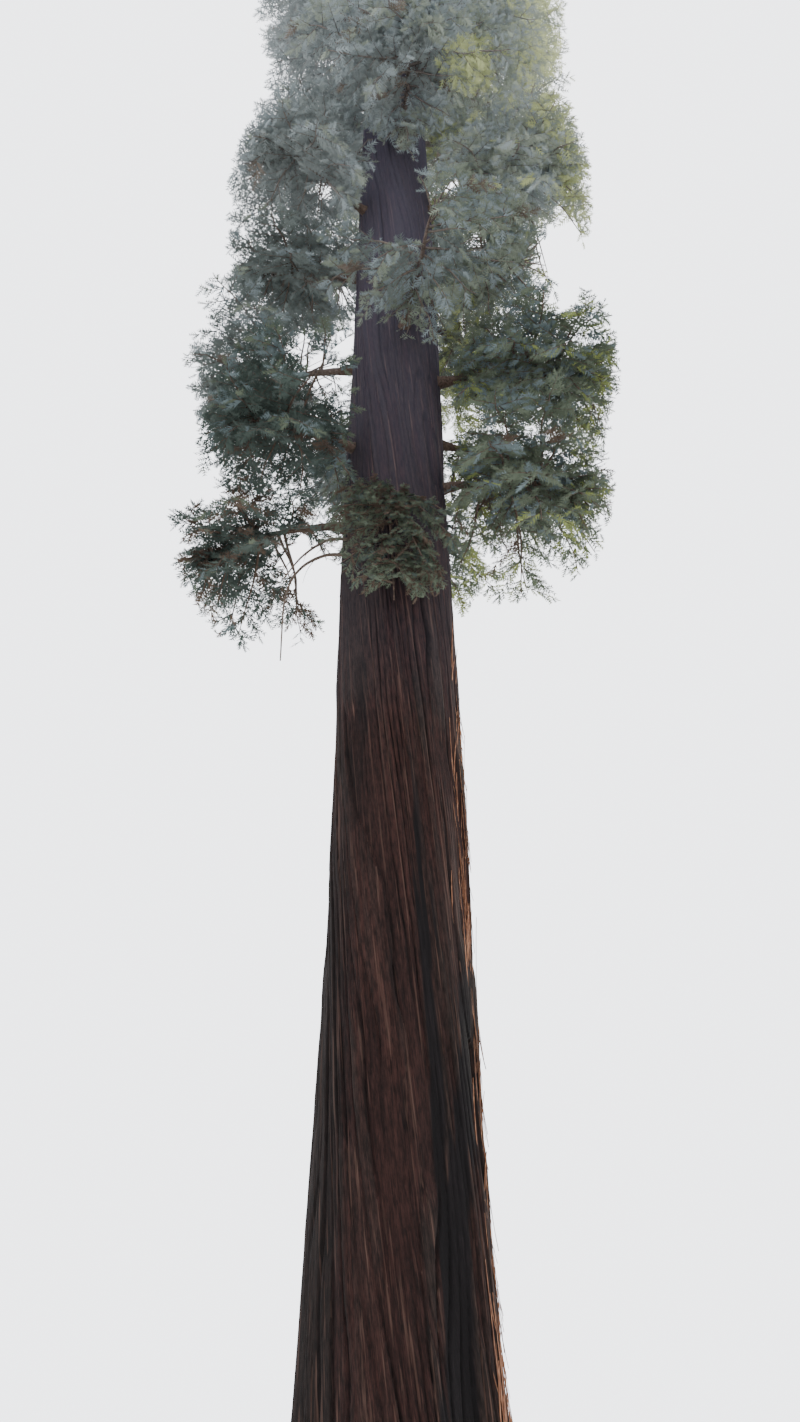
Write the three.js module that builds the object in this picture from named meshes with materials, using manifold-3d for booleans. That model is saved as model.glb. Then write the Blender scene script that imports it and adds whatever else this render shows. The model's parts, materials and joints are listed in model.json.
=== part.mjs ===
// A coast redwood at half its real size. One tall trunk with a root flare, spiral fluting and a fire-scarred
// groove runs from a flat cut at ground level to its tip. Boughs leave it bare and end where they enter masses
// of drooping foliage. Each mass is a ragged core on one stem, with twigs that end in toothed sprays of needles,
// and the masses climb the trunk in a loose spiral.
import * as THREE from "three";
import { mergeVertices } from "three/addons/utils/BufferGeometryUtils.js";
import Module from "manifold-3d";

const wasm = await Module();
wasm.setup();

// Lengths are in millimetres and angles in degrees. A bearing is seen from above: 0 is to the viewer's right
// and 90 is away from the viewer. +Z is up, and the origin is the middle of the cut at the ground.
const CLEARANCE = 0.3; // between pieces that meet
const SLIVER = 12; // facets narrower than this, left where solids join, are merged into their neighbours
const SEED = 41;

// Trunk
const TREE_HEIGHT = 39960;
const TRUNK_TOP = 37900;
const TRUNK_SIDES = 28;
const TRUNK_RINGS = 23;
const RING_CROWDING = 1.45; // above 1, rings lie closer together towards the ground
const BOLE_DIAMETER = 1620; // at the ground, before the flare is added
const TAPER_POWER = 0.48; // of the bole
const TIP_POWER = 0.45; // added to it towards the tip
const TIP_RADIUS = 14;
const FLARE = { diameter: 300, height: 3200 };
const ROOT_FLARE = { diameter: 560, height: 420 };
const LEAN_PER_METRE = -4.5; // towards the viewer's left
const TWIST_PER_METRE = 8; // the bark's grain turns clockwise as it climbs
const BUTTRESSES = 7;
const BUTTRESS_DEPTH = 0.085; // as a share of the radius at the ground
const BUTTRESS_HEIGHT = 900;
const FLUTES = 5;
const FLUTE_DEPTH = 0.022;
const GROOVE = { bearing: 316, driftPerMetre: -4.5, depth: 85, halfWidth: 15, height: 7600 };

// Crown
const CROWN_FOOT = 10200; // height of the lowest foliage
const CROWN_REACH = 3120; // from the axis to the furthest foliage
const SHOULDER_POWER = 2.4; // how long the crown keeps that reach before it tapers
const POINT_POWER = 0.62;
const REACH_JITTER = 0.08;
// The masses of the lower crown, lowest first: bearing, height, reach as a share of the crown's there, and for
// those that are thin, half height as a share of the others'.
const LOWER_MASSES = [
  [268, 10650, 1], [184, 11250, 0.96, 0.87], [345, 11950, 0.94], [78, 13000, 0.92], [206, 12750, 0.92],
  [20, 13400, 0.93], [350, 14350, 1.08], [110, 14700, 0.95], [166, 15050, 1.05], [282, 15100, 0.98, 0.66],
  [333, 16100, 0.87], [32, 16350, 0.9], [178, 17150, 0.9], [80, 17100, 0.95], [214, 18500, 0.9],
  [134, 18900, 0.92], [347, 18900, 1.05], [277, 19900, 1], [58, 19800, 1], [186, 20500, 0.78],
  [14, 21300, 1.1], [232, 21900, 0.82], [152, 22100, 0.8], [318, 22300, 1], [100, 22700, 1],
];
const UPPER_MASSES = 15; // above those, each turns on from the last by the golden angle
const UPPER_STEP = 1000;
const GOLDEN_ANGLE = 137.5;
const LOPSIDED = 0.17; // how much further the first of those reach on the viewer's right, and less on the left
// Towards the top they are made fuller still, but for the last two: how much wider and taller.
const FULLER = { width: 1.3, height: 1.2 };
const MASSES = LOWER_MASSES.length + UPPER_MASSES;
const BOUGHS = 16; // the lower masses hang on boughs, the others on their own stems
const FIRST_SLOPE = -34; // of the lowest mass: its outer end hangs below its root
const LAST_SLOPE = 40; // near the tip the foliage points up
const BARE_LENGTH = 240; // from the bark to the foliage at the crown's foot
const WIDTH_SHARE = 0.6; // a mass's half width there as a share of the crown's reach
const MASS_HALF_HEIGHT = 1640; // and its half height
const INNER_POWER = 4; // above 2, a mass's inner half is blunter than an ellipsoid's, so it fills in to the bark
// Above the middle of the crown the masses close round the trunk: how much wider and taller they are than at its
// foot, and the share of the bare length that is left.
const CLOSED = { from: 0.3, to: 0.6, width: 1.3, height: 1.2, bare: 0.25 };

// The core of a mass, in the open crown below and the closed crown above. Shares of the way to the mass's edge.
const CORE_POINTS = [0.84, 0.94]; // how far its points reach
const CORE_HOLLOWS = [0.5, 0.58]; // and the hollows between them
const CORE_CREST = [0.7, 0.95]; // how much shorter the points on top are
const CORE_DROOP = [0.3, 0.14]; // how far the points hang, as a share of the mass's half height
const CORE_LUMPS = 0.2; // how uneven all this is

// The lowest mass is a thin veil of sprays close against the bark, with no core.
const VEIL = {
  bare: 60, thickness: 760, halfWidth: 1000, halfHeight: 1150,
  sprays: 9, sprayLength: 860, turn: 78, climb: -34,
};

// Limbs
const BOUGH_SIDES = 6;
const BOUGH_STEPS = 3;
const BOUGH_RADIUS = 92;
const STEM_SHARE = 0.62; // a stem's radius at its root, as a share of its bough's
const STEM_SIDES = 5;
const STEM_STEPS = 3;
const TWIG_RADIUS = 22;
const BARE_LIMB = { radius: 26, tipRadius: 8, sides: 4, steps: 8 };

// Each mass's twigs, as bearings off its own and how far they rise above its slope. A twig ends in a spray.
const TWIGS = [[-58, -6], [56, -16], [2, -2]];
const TWIG_JITTER = 14; // of both
const TWIG_SHARE = 0.42; // how far a twig runs towards the edge of its mass
const SPRAY_LENGTH = 1300; // of the longest; the others end where their mass does
const SPRAY_WIDTH = 0.68; // as shares of its length
const SPRAY_THICKNESS = 0.05;
const SPRAY_DROOP = 0.2;
const SPACE_MARGIN = [0.035, 0.12]; // how far inside its own space foliage stays, below and at the top
const LIMB_MARGIN = 60; // kept between foliage and the limbs of other masses
const BARE_MARGIN = 330; // around the bare limbs, which hang in the open
const BARK_MARGIN = 70; // and between foliage and the trunk

// Openings in the foliage along the viewer's sight lines: how far across and up on the tree, and the radius there.
// The sky shows through the gaps, and the trunk through the windows.
const VIEWER = [0, -12000, 800];
const SKY_GAPS = [
  [-880, 16500, 170], [-840, 15450, 150], [-1120, 14750, 360], [-1500, 15400, 200], [-1300, 19300, 220],
  [860, 19400, 180], [1250, 17900, 200], [2600, 17500, 500], [-1300, 10950, 420], [-950, 10600, 250],
];
const TRUNK_WINDOWS = [[-330, 18700, 360], [170, 18700, 360], [-80, 19400, 400]];

const UP = new THREE.Vector3(0, 0, 1);
const radians = (degrees) => THREE.MathUtils.degToRad(degrees);
const mix = (a, b, share) => a + (b - a) * share;

// Seeded random numbers from 0 to 1.
function randomNumbers(seed) {
  let state = seed >>> 0;
  return () => {
    state = (state + 0x6d2b79f5) >>> 0;
    let t = Math.imul(state ^ (state >>> 15), 1 | state);
    t = (t + Math.imul(t ^ (t >>> 7), 61 | t)) ^ t;
    return ((t ^ (t >>> 14)) >>> 0) / 4294967296;
  };
}

// Solids and geometries
function solidOf(geometry) {
  const bare = geometry.clone();
  bare.deleteAttribute("normal");
  bare.deleteAttribute("uv");
  const merged = mergeVertices(bare, 1e-3);
  const mesh = new wasm.Mesh({
    numProp: 3,
    vertProperties: merged.attributes.position.array,
    triVerts: new Uint32Array(merged.index.array),
  });
  return new wasm.Manifold(mesh);
}

function geometryOf(solid) {
  const mesh = solid.getMesh();
  const geometry = new THREE.BufferGeometry();
  geometry.setAttribute("position", new THREE.BufferAttribute(new Float32Array(mesh.vertProperties), 3));
  geometry.setIndex(new THREE.BufferAttribute(new Uint32Array(mesh.triVerts), 1));
  geometry.computeVertexNormals();
  return geometry;
}

// The largest connected piece of a solid, without loose scraps or sealed hollows.
function wholePiece(solid) {
  const pieces = solid.decompose();
  return pieces.reduce((best, piece) => (piece.volume() > best.volume() ? piece : best));
}

// Trunk
function boleRadius(height) {
  const share = Math.min(height / TREE_HEIGHT, 1);
  const bole = (BOLE_DIAMETER / 2) * (1 - share) ** (TAPER_POWER + TIP_POWER * share ** 3);
  const flare = (FLARE.diameter / 2) * Math.exp(-height / FLARE.height);
  return Math.max(bole + flare, TIP_RADIUS);
}

function axisAt(height) {
  return new THREE.Vector3((LEAN_PER_METRE * height) / 1000, 0, height);
}

function trunkRadius(bearing, height) {
  const grain = radians(bearing + (TWIST_PER_METRE * height) / 1000);
  const roots = (ROOT_FLARE.diameter / 2) * Math.exp(-height / ROOT_FLARE.height);
  const buttress = BUTTRESS_DEPTH * Math.exp(-height / BUTTRESS_HEIGHT) * Math.cos(BUTTRESSES * grain);
  const flute = FLUTE_DEPTH * Math.cos(FLUTES * grain + 1);
  const grooveBearing = GROOVE.bearing + (GROOVE.driftPerMetre * height) / 1000;
  const off = ((((bearing - grooveBearing) % 360) + 540) % 360) - 180;
  const fade = Math.max(1 - height / GROOVE.height, 0);
  const groove = GROOVE.depth * Math.sqrt(fade) * Math.exp(-((off / GROOVE.halfWidth) ** 2));
  return (boleRadius(height) + roots) * (1 + buttress + flute) - groove;
}

// The trunk's surface, or the same surface grown outwards.
function trunkGeometry(growth) {
  const geometry = new THREE.CylinderGeometry(1, 1, 1, TRUNK_SIDES, TRUNK_RINGS);
  const position = geometry.getAttribute("position");
  const point = new THREE.Vector3();
  for (let i = 0; i < position.count; i++) {
    point.fromBufferAttribute(position, i);
    const height = TRUNK_TOP * (point.y + 0.5) ** RING_CROWDING;
    const bearing = THREE.MathUtils.radToDeg(Math.atan2(point.x, point.z));
    const onAxis = Math.hypot(point.x, point.z) < 0.5;
    const radius = onAxis ? 0 : trunkRadius(bearing, height) + growth;
    const place = axisAt(height + (height > TRUNK_TOP / 2 && height > TRUNK_TOP - 1 ? growth : 0));
    position.setXYZ(i, place.x + radius * Math.cos(radians(bearing)), radius * Math.sin(radians(bearing)), place.z);
  }
  return geometry;
}

// A tapering limb of round section along a curve, closed at both ends.
function limbGeometry(curve, rootRadius, tipRadius, sides, steps) {
  const geometry = new THREE.CylinderGeometry(1, 1, 1, sides, steps);
  const position = geometry.getAttribute("position");
  const frames = curve.computeFrenetFrames(steps, false);
  const centres = curve.getSpacedPoints(steps);
  const point = new THREE.Vector3();
  for (let i = 0; i < position.count; i++) {
    point.fromBufferAttribute(position, i);
    const step = Math.round((point.y + 0.5) * steps);
    const radius = mix(rootRadius, tipRadius, step / steps);
    const { x, z } = point;
    point.copy(centres[step]);
    point.addScaledVector(frames.binormals[step], x * radius);
    point.addScaledVector(frames.normals[step], z * radius);
    position.setXYZ(i, point.x, point.y, point.z);
  }
  return geometry;
}

// The outline of a spray from its tip round one side to its root, as shares of its length along it and of its
// half width across it: the tip, a notch, a tooth and the root.
const SPRAY_OUTLINE = [[1, 0], [0.66, 0.32], [0.6, 1], [0, 0]];

function sprayPlaces(root, direction, side, length) {
  const across = side.clone().addScaledVector(direction, -side.dot(direction)).normalize();
  const place = (along, out, lift) =>
    root.clone()
      .addScaledVector(direction, along * length)
      .addScaledVector(across, (out * length * SPRAY_WIDTH) / 2)
      .addScaledVector(UP, -(along ** 2 + 0.5 * Math.abs(out)) * SPRAY_DROOP * length)
      .addScaledVector(new THREE.Vector3().crossVectors(direction, across), lift * length);
  return place;
}

// One spray: a thin blade with a toothed outline, its root at the given point.
function sprayGeometry(root, direction, side, length) {
  const corners = 2 * (SPRAY_OUTLINE.length - 1);
  const geometry = new THREE.SphereGeometry(1, corners, 2);
  const position = geometry.getAttribute("position");
  const place = sprayPlaces(root, direction, side, length);
  for (let i = 0; i < position.count; i++) {
    const y = position.getY(i);
    let point;
    if (Math.abs(y) > 0.5) {
      point = place(0.45, 0, (Math.sign(y) * SPRAY_THICKNESS) / 2);
    } else {
      const turn = Math.atan2(position.getZ(i), position.getX(i));
      const corner = Math.round((Math.abs(turn) / Math.PI) * (SPRAY_OUTLINE.length - 1));
      const [along, out] = SPRAY_OUTLINE[corner];
      point = place(along, -Math.sign(turn) * out, 0);
    }
    position.setXYZ(i, point.x, point.y, point.z);
  }
  return geometry;
}

// The crown's plan: where each mass is, how large it is, and the space that it keeps to.
function crownReach(height) {
  const share = (height - CROWN_FOOT) / (TREE_HEIGHT - CROWN_FOOT);
  return CROWN_REACH * (1 - Math.min(share, 1) ** SHOULDER_POWER) ** POINT_POWER;
}

function planMass(index) {
  const random = randomNumbers(SEED + 97 * index);
  const above = Math.max(index - LOWER_MASSES.length + 1, 0);
  const [firstBearing, firstHeight, firstReach, heightShare = 1] = LOWER_MASSES[index - above];
  const bearing = firstBearing + GOLDEN_ANGLE * above;
  const climbed = above / UPPER_MASSES;
  const reachShare = firstReach + (above > 0 ? LOPSIDED * Math.cos(radians(bearing)) * (1 - climbed) : 0);
  const height = firstHeight + UPPER_STEP * above;
  const share = index / (MASSES - 1);
  const veil = index === 0;
  const reach = crownReach(height) * reachShare * (1 + REACH_JITTER * (random() - 0.5));
  const size = reach / CROWN_REACH;
  const closed = THREE.MathUtils.smoothstep(share, CLOSED.from, CLOSED.to);
  const inner = boleRadius(height) + (veil ? VEIL.bare : BARE_LENGTH * size * mix(1, CLOSED.bare, closed));
  const radial = veil ? VEIL.thickness / 2 : Math.max((reach - inner) / 2, 120);
  const slope = radians(veil ? 0 : mix(FIRST_SLOPE, LAST_SLOPE, Math.sqrt(share)));
  const outward = new THREE.Vector3(Math.cos(radians(bearing)), Math.sin(radians(bearing)), 0);
  const across = new THREE.Vector3(-outward.y, outward.x, 0);
  const along = outward.clone().multiplyScalar(Math.cos(slope)).addScaledVector(UP, Math.sin(slope));
  const lift = new THREE.Vector3().crossVectors(along, across);
  const centre = axisAt(height).addScaledVector(outward, inner + radial);
  const fuller = Math.min(climbed / 0.6, 1) * Math.min((1 - climbed) / 0.2, 1);
  const wide = reach * WIDTH_SHARE * mix(1, FULLER.width, fuller);
  const tall = MASS_HALF_HEIGHT * heightShare * mix(1, FULLER.height, fuller);
  return {
    index, height, bearing, veil, size, closed, inner, outward, across, along, lift, centre, random,
    margin: mix(...SPACE_MARGIN, climbed),
    name: "foliage_" + String(index + 1).padStart(2, "0"),
    halfLength: radial / Math.cos(slope),
    halfWidth: veil ? VEIL.halfWidth : wide * mix(1, CLOSED.width, closed),
    halfHeight: veil ? VEIL.halfHeight : tall * mix(0.35, 1, size) * mix(1, CLOSED.height, closed),
    hasBough: index > 0 && index <= BOUGHS,
  };
}

// How far out in a mass's own space a point lies: 0 at its centre, 1 at its edge.
function depthIn(mass, point) {
  const offset = point.clone().sub(mass.centre);
  const along = offset.dot(mass.along) / mass.halfLength;
  const round = Math.hypot(offset.dot(mass.across) / mass.halfWidth, offset.dot(mass.lift) / mass.halfHeight);
  const power = along < 0 ? INNER_POWER : 2;
  return (Math.abs(along) ** power + round ** power) ** (1 / power);
}

// A mass's stem runs from its root through its centre, and a bough from the trunk to that root.
function planLimbs(mass) {
  mass.radius = BOUGH_RADIUS * mix(0.3, 1, mass.size);
  if (mass.veil) {
    const [root, shoulder, end] = [[0.75, 0.85], [1.9, 0.95], [1.15, -0.75]].map(([out, rise]) =>
      axisAt(mass.height + rise * mass.halfHeight).addScaledVector(mass.outward, out * boleRadius(mass.height)));
    mass.stemCurve = new THREE.QuadraticBezierCurve3(root, shoulder, end);
    mass.limbs = [mass.stemCurve.getPoints(6)];
    return;
  }
  const rootRadius = mass.hasBough ? mass.inner : boleRadius(mass.height) * 0.6;
  const slopeDrop = (mass.along.z / Math.hypot(mass.along.x, mass.along.y)) * (mass.halfLength * 0.9);
  const root = axisAt(mass.height).addScaledVector(mass.outward, rootRadius);
  root.z -= slopeDrop;
  const end = mass.centre.clone().addScaledVector(mass.along, mass.halfLength * 0.55);
  const arch = root.clone().lerp(end, 0.5).addScaledVector(UP, 0.16 * mass.halfLength);
  mass.stemCurve = new THREE.QuadraticBezierCurve3(root, arch, end);
  mass.limbs = [mass.stemCurve.getPoints(6)];
  if (mass.hasBough) {
    const start = axisAt(mass.height).addScaledVector(mass.outward, boleRadius(mass.height) * 0.7);
    start.z = root.z - 0.1 * BARE_LENGTH;
    const bend = root.clone().addScaledVector(mass.stemCurve.getTangent(0), -0.45 * BARE_LENGTH);
    mass.boughCurve = new THREE.QuadraticBezierCurve3(start, bend, root);
    mass.limbs.push(mass.boughCurve.getPoints(6));
  }
}

// Two dead limbs hang bare in the gap under the lowest mass on the viewer's left. Each is given by its root on
// the trunk and the places that it droops through, as distances out from the axis and heights.
const BARE_LIMBS = {
  bare_limb_long: { bearing: 192, places: [[560, 11080], [950, 11020], [1290, 10700], [1440, 10200], [1450, 9250]] },
  bare_limb_short: { bearing: 201, places: [[560, 11280], [930, 11170], [1270, 10800], [1520, 10330]] },
};

function bareCurve({ bearing, places }) {
  const direction = new THREE.Vector3(Math.cos(radians(bearing)), Math.sin(radians(bearing)), 0);
  return new THREE.CatmullRomCurve3(
    places.map(([out, height]) => axisAt(height).addScaledVector(direction, out)),
  );
}

// The leader is the mass at the very top. It stands on the trunk's tip.
const LEADER = { halfWidth: 660, sprays: 15, length: 720, tipLength: 560, firstClimb: 12, lastClimb: 55 };

function planLeader() {
  const height = (TRUNK_TOP + TREE_HEIGHT) / 2;
  return {
    height, centre: axisAt(height), limbs: [], radius: 0, margin: SPACE_MARGIN[1],
    along: new THREE.Vector3(1, 0, 0), across: new THREE.Vector3(0, 1, 0), lift: UP,
    halfLength: LEADER.halfWidth, halfWidth: LEADER.halfWidth, halfHeight: (TREE_HEIGHT - TRUNK_TOP) / 2 + 50,
  };
}

const masses = Array.from({ length: MASSES }, (_, index) => planMass(index));
masses.forEach(planLimbs);
const leader = planLeader();
const bareLimbs = Object.entries(BARE_LIMBS).map(([name, limb]) => ({ name, curve: bareCurve(limb) }));
const barePoints = bareLimbs.map(({ curve }) => curve.getPoints(16));

const segment = new THREE.Line3();
const nearest = new THREE.Vector3();
function clearOf(point, polyline, distance) {
  for (let i = 1; i < polyline.length; i++) {
    segment.set(polyline[i - 1], polyline[i]);
    segment.closestPointToPoint(point, true, nearest);
    if (nearest.distanceTo(point) < distance) return false;
  }
  return true;
}

// Whether a point would hide the sky in a gap or the trunk in a window. These widen with the distance.
const viewer = new THREE.Vector3(...VIEWER);
function inView(point) {
  const openings = point.y < 0 ? [...SKY_GAPS, ...TRUNK_WINDOWS] : SKY_GAPS;
  const offset = point.clone().sub(viewer);
  return openings.some(([across, height, radius]) => {
    const middle = new THREE.Vector3(across, 0, height).sub(viewer);
    const along = offset.dot(middle) / middle.length();
    return Math.sqrt(offset.lengthSq() - along ** 2) < (radius * along) / middle.length();
  });
}

// Whether a point is in a mass's own space: nearer to it than to any other mass, clear of the openings, of the
// trunk and of the limbs of the others.
function owns(mass, point) {
  const depth = depthIn(mass, point);
  if (depth > 1 || point.z > TREE_HEIGHT || inView(point)) return false;
  if (Math.hypot(point.x - axisAt(point.z).x, point.y) < boleRadius(point.z) + BARK_MARGIN) return false;
  for (const other of neighboursOf(mass)) {
    if (depthIn(other, point) < depth + mass.margin) return false;
    if (!other.limbs.every((limb) => clearOf(point, limb, other.radius + LIMB_MARGIN))) return false;
  }
  return barePoints.every((limb) => clearOf(point, limb, BARE_MARGIN));
}

function neighboursOf(mass) {
  const span = 2 * (MASS_HALF_HEIGHT + CROWN_REACH / 2);
  return [...masses, leader].filter((other) => other !== mass && Math.abs(other.height - mass.height) < span);
}

// The core is a ball drawn out into drooping points, pulled in wherever it would leave its mass's space. Its
// points are the corners and the middles of the faces of an icosahedron.
const icosahedron = new THREE.IcosahedronGeometry(1, 0).getAttribute("position");
const pointDirections = [];
for (let face = 0; face < icosahedron.count; face += 3) {
  const corners = [0, 1, 2].map((k) => new THREE.Vector3().fromBufferAttribute(icosahedron, face + k));
  const middle = corners[0].clone().add(corners[1]).add(corners[2]).normalize();
  pointDirections.push(...corners, middle);
}

function coreGeometry(mass) {
  const geometry = new THREE.IcosahedronGeometry(1, 2);
  const position = geometry.getAttribute("position");
  const [pointReach, hollowReach, crest, droop] = [CORE_POINTS, CORE_HOLLOWS, CORE_CREST, CORE_DROOP].map(
    ([open, closed]) => mix(open, closed, mass.closed),
  );
  const direction = new THREE.Vector3();
  const places = new Map();
  for (let i = 0; i < position.count; i++) {
    direction.fromBufferAttribute(position, i);
    const key = direction.toArray().map((value) => value.toFixed(3)).join();
    if (!places.has(key)) {
      const isPoint = pointDirections.some((other) => other.distanceTo(direction) < 0.01);
      const ray = new THREE.Vector3()
        .addScaledVector(mass.along, direction.x * mass.halfLength)
        .addScaledVector(mass.across, direction.y * mass.halfWidth)
        .addScaledVector(mass.lift, direction.z * mass.halfHeight);
      ray.divideScalar(depthIn(mass, mass.centre.clone().add(ray)));
      if (isPoint) ray.z -= droop * mass.halfHeight;
      const reach = isPoint ? pointReach * mix(1, crest, Math.max(direction.z, 0)) : hollowReach;
      let share = reach * (1 + CORE_LUMPS * (2 * mass.random() - 1));
      while (share > 0.2 && !owns(mass, mass.centre.clone().addScaledVector(ray, share * 1.05))) share -= 0.04;
      places.set(key, mass.centre.clone().addScaledVector(ray, share));
    }
    const place = places.get(key);
    position.setXYZ(i, place.x, place.y, place.z);
  }
  return geometry;
}

// A spray is kept only if its outline lies in its mass's space. One that doesn't fit is tried shorter.
function fittedSpray(mass, root, direction, side, room) {
  const length = Math.min(room, SPRAY_LENGTH);
  for (const share of [1, 0.86, 0.72, 0.58]) {
    const place = sprayPlaces(root, direction, side, length * share);
    const outer = SPRAY_OUTLINE.filter(([along]) => along > 0.4);
    const samples = outer.flatMap(([along, out]) => [place(along, out, 0), place(along, -out, 0)]);
    if (samples.every((sample) => owns(mass, sample))) {
      return solidOf(sprayGeometry(root, direction, side, length * share));
    }
  }
  return null;
}

function edgeDistance(mass, start, direction) {
  const probe = start.clone();
  let distance = 0;
  while (distance < 2 * SPRAY_LENGTH && owns(mass, probe)) {
    distance += 40;
    probe.copy(start).addScaledVector(direction, distance);
  }
  return distance;
}

function towards(mass, turn, climb) {
  const level = mass.outward.clone().applyAxisAngle(UP, turn);
  return level.multiplyScalar(Math.cos(climb)).addScaledVector(UP, Math.sin(climb));
}

function foliageSolid(mass) {
  const stemRadius = mass.radius * STEM_SHARE;
  let whole = solidOf(limbGeometry(mass.stemCurve, stemRadius, stemRadius * 0.5, STEM_SIDES, STEM_STEPS));
  if (mass.hasBough) whole = whole.translate(mass.stemCurve.getTangent(0).multiplyScalar(CLEARANCE).toArray());
  whole = whole.add(solidOf(coreGeometry(mass)));
  const slope = Math.atan2(mass.along.z, Math.hypot(mass.along.x, mass.along.y));
  const jitter = () => radians(TWIG_JITTER * (2 * mass.random() - 1));
  for (const [twigTurn, rise] of TWIGS) {
    const turn = radians(twigTurn) + jitter();
    const climb = slope * Math.cos(turn) + radians(rise) + jitter();
    const direction = towards(mass, turn, climb);
    const start = mass.stemCurve.getPointAt(mix(0.6, 0.9, mass.random()));
    const reach = edgeDistance(mass, start, direction);
    const end = start.clone().addScaledVector(direction, TWIG_SHARE * reach);
    whole = whole.add(solidOf(limbGeometry(new THREE.LineCurve3(start, end), TWIG_RADIUS, TWIG_RADIUS * 0.7, 3, 1)));
    const side = new THREE.Vector3().crossVectors(UP, direction).applyAxisAngle(direction, 0.5 * jitter());
    const root = end.clone().addScaledVector(direction, -0.05 * reach);
    const spray = fittedSpray(mass, root, direction, side, reach * (1.04 - TWIG_SHARE));
    if (spray) whole = whole.add(spray);
  }
  return whole;
}

// The veil's stem hangs down in front of the bark and carries sprays to its two sides in turn.
function veilSolid(mass) {
  let whole = solidOf(limbGeometry(mass.stemCurve, mass.radius * 0.4, mass.radius * 0.15, STEM_SIDES, 2 * STEM_STEPS));
  for (let k = 0; k < VEIL.sprays; k++) {
    const share = (k + 1) / VEIL.sprays;
    const hand = k % 2 ? 1 : -1;
    const turn = share < 1 ? hand * radians(VEIL.turn) : 0;
    const direction = towards(mass, turn, share < 1 ? radians(VEIL.climb) : -1.4);
    const root = mass.stemCurve.getPointAt(mix(0.3, 0.96, share));
    const side = share < 1 ? UP : mass.across;
    const spray = fittedSpray(mass, root, direction, side, VEIL.sprayLength);
    if (spray) whole = whole.add(spray);
  }
  return whole;
}

// The leader's stem carries sprays all round, which rise more steeply the higher they are. The last points up.
function leaderSolid() {
  const root = axisAt(TRUNK_TOP);
  root.z += CLEARANCE;
  const end = axisAt(TREE_HEIGHT - 90);
  let whole = solidOf(limbGeometry(new THREE.LineCurve3(root, end), TIP_RADIUS, TIP_RADIUS * 0.7, 5, 1));
  const last = sprayGeometry(axisAt(TREE_HEIGHT - LEADER.tipLength), UP, leader.along, LEADER.tipLength);
  last.translate(0, 0, TREE_HEIGHT - boxTop(last));
  whole = whole.add(solidOf(last));
  for (let k = 0; k < LEADER.sprays; k++) {
    const share = k / (LEADER.sprays - 1);
    const bearing = radians(GOLDEN_ANGLE * k);
    const climb = radians(mix(LEADER.firstClimb, LEADER.lastClimb, share));
    const outward = new THREE.Vector3(Math.cos(bearing), Math.sin(bearing), 0);
    const direction = outward.clone().multiplyScalar(Math.cos(climb)).addScaledVector(UP, Math.sin(climb));
    const place = axisAt(mix(TRUNK_TOP + 120, TREE_HEIGHT - LEADER.tipLength, share));
    const side = new THREE.Vector3(-outward.y, outward.x, 0);
    const spray = fittedSpray(leader, place, direction, side, LEADER.length);
    if (spray) whole = whole.add(spray);
  }
  return whole;
}

function boxTop(geometry) {
  geometry.computeBoundingBox();
  return geometry.boundingBox.max.z;
}

// Materials, coloured as the real tree is.
const bark = new THREE.MeshStandardMaterial({ color: 0x6b4637, roughness: 0.95, metalness: 0 });
const deadWood = new THREE.MeshStandardMaterial({ color: 0x4a3c34, roughness: 0.95, metalness: 0 });
const needles = new THREE.MeshStandardMaterial({ color: 0x3f5540, roughness: 0.8, metalness: 0 });

function piece(name, solid, material) {
  const mesh = new THREE.Mesh(geometryOf(wholePiece(solid)), material);
  mesh.name = name;
  return mesh;
}

const trunk = solidOf(trunkGeometry(0));
const grownTrunk = solidOf(trunkGeometry(CLEARANCE));
const offTrunk = (solid) => solid.simplify(SLIVER).subtract(grownTrunk);

const tree = new THREE.Group();
tree.add(piece("trunk", trunk, bark));
for (const mass of masses.filter(({ hasBough }) => hasBough)) {
  const limb = limbGeometry(mass.boughCurve, mass.radius, mass.radius * STEM_SHARE, BOUGH_SIDES, BOUGH_STEPS);
  const name = "bough_" + String(mass.index + 1).padStart(2, "0");
  tree.add(piece(name, offTrunk(solidOf(limb)), bark));
}
for (const { name, curve } of bareLimbs) {
  const limb = limbGeometry(curve, BARE_LIMB.radius, BARE_LIMB.tipRadius, BARE_LIMB.sides, BARE_LIMB.steps);
  tree.add(piece(name, offTrunk(solidOf(limb)), deadWood));
}
for (const mass of masses) {
  tree.add(piece(mass.name, offTrunk(mass.veil ? veilSolid(mass) : foliageSolid(mass)), needles));
}
tree.add(piece("foliage_leader", leaderSolid().simplify(SLIVER), needles));

export default tree;
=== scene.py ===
# A coast redwood at half its real size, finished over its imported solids. The trunk, boughs and bare limbs get
# bark with real relief. Every mass of foliage is grown again from its stem by the rule of the solids, down to
# finer twigs and feathery sprays of needles that keep to the same spaces.
import json
import math
from types import SimpleNamespace

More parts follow.
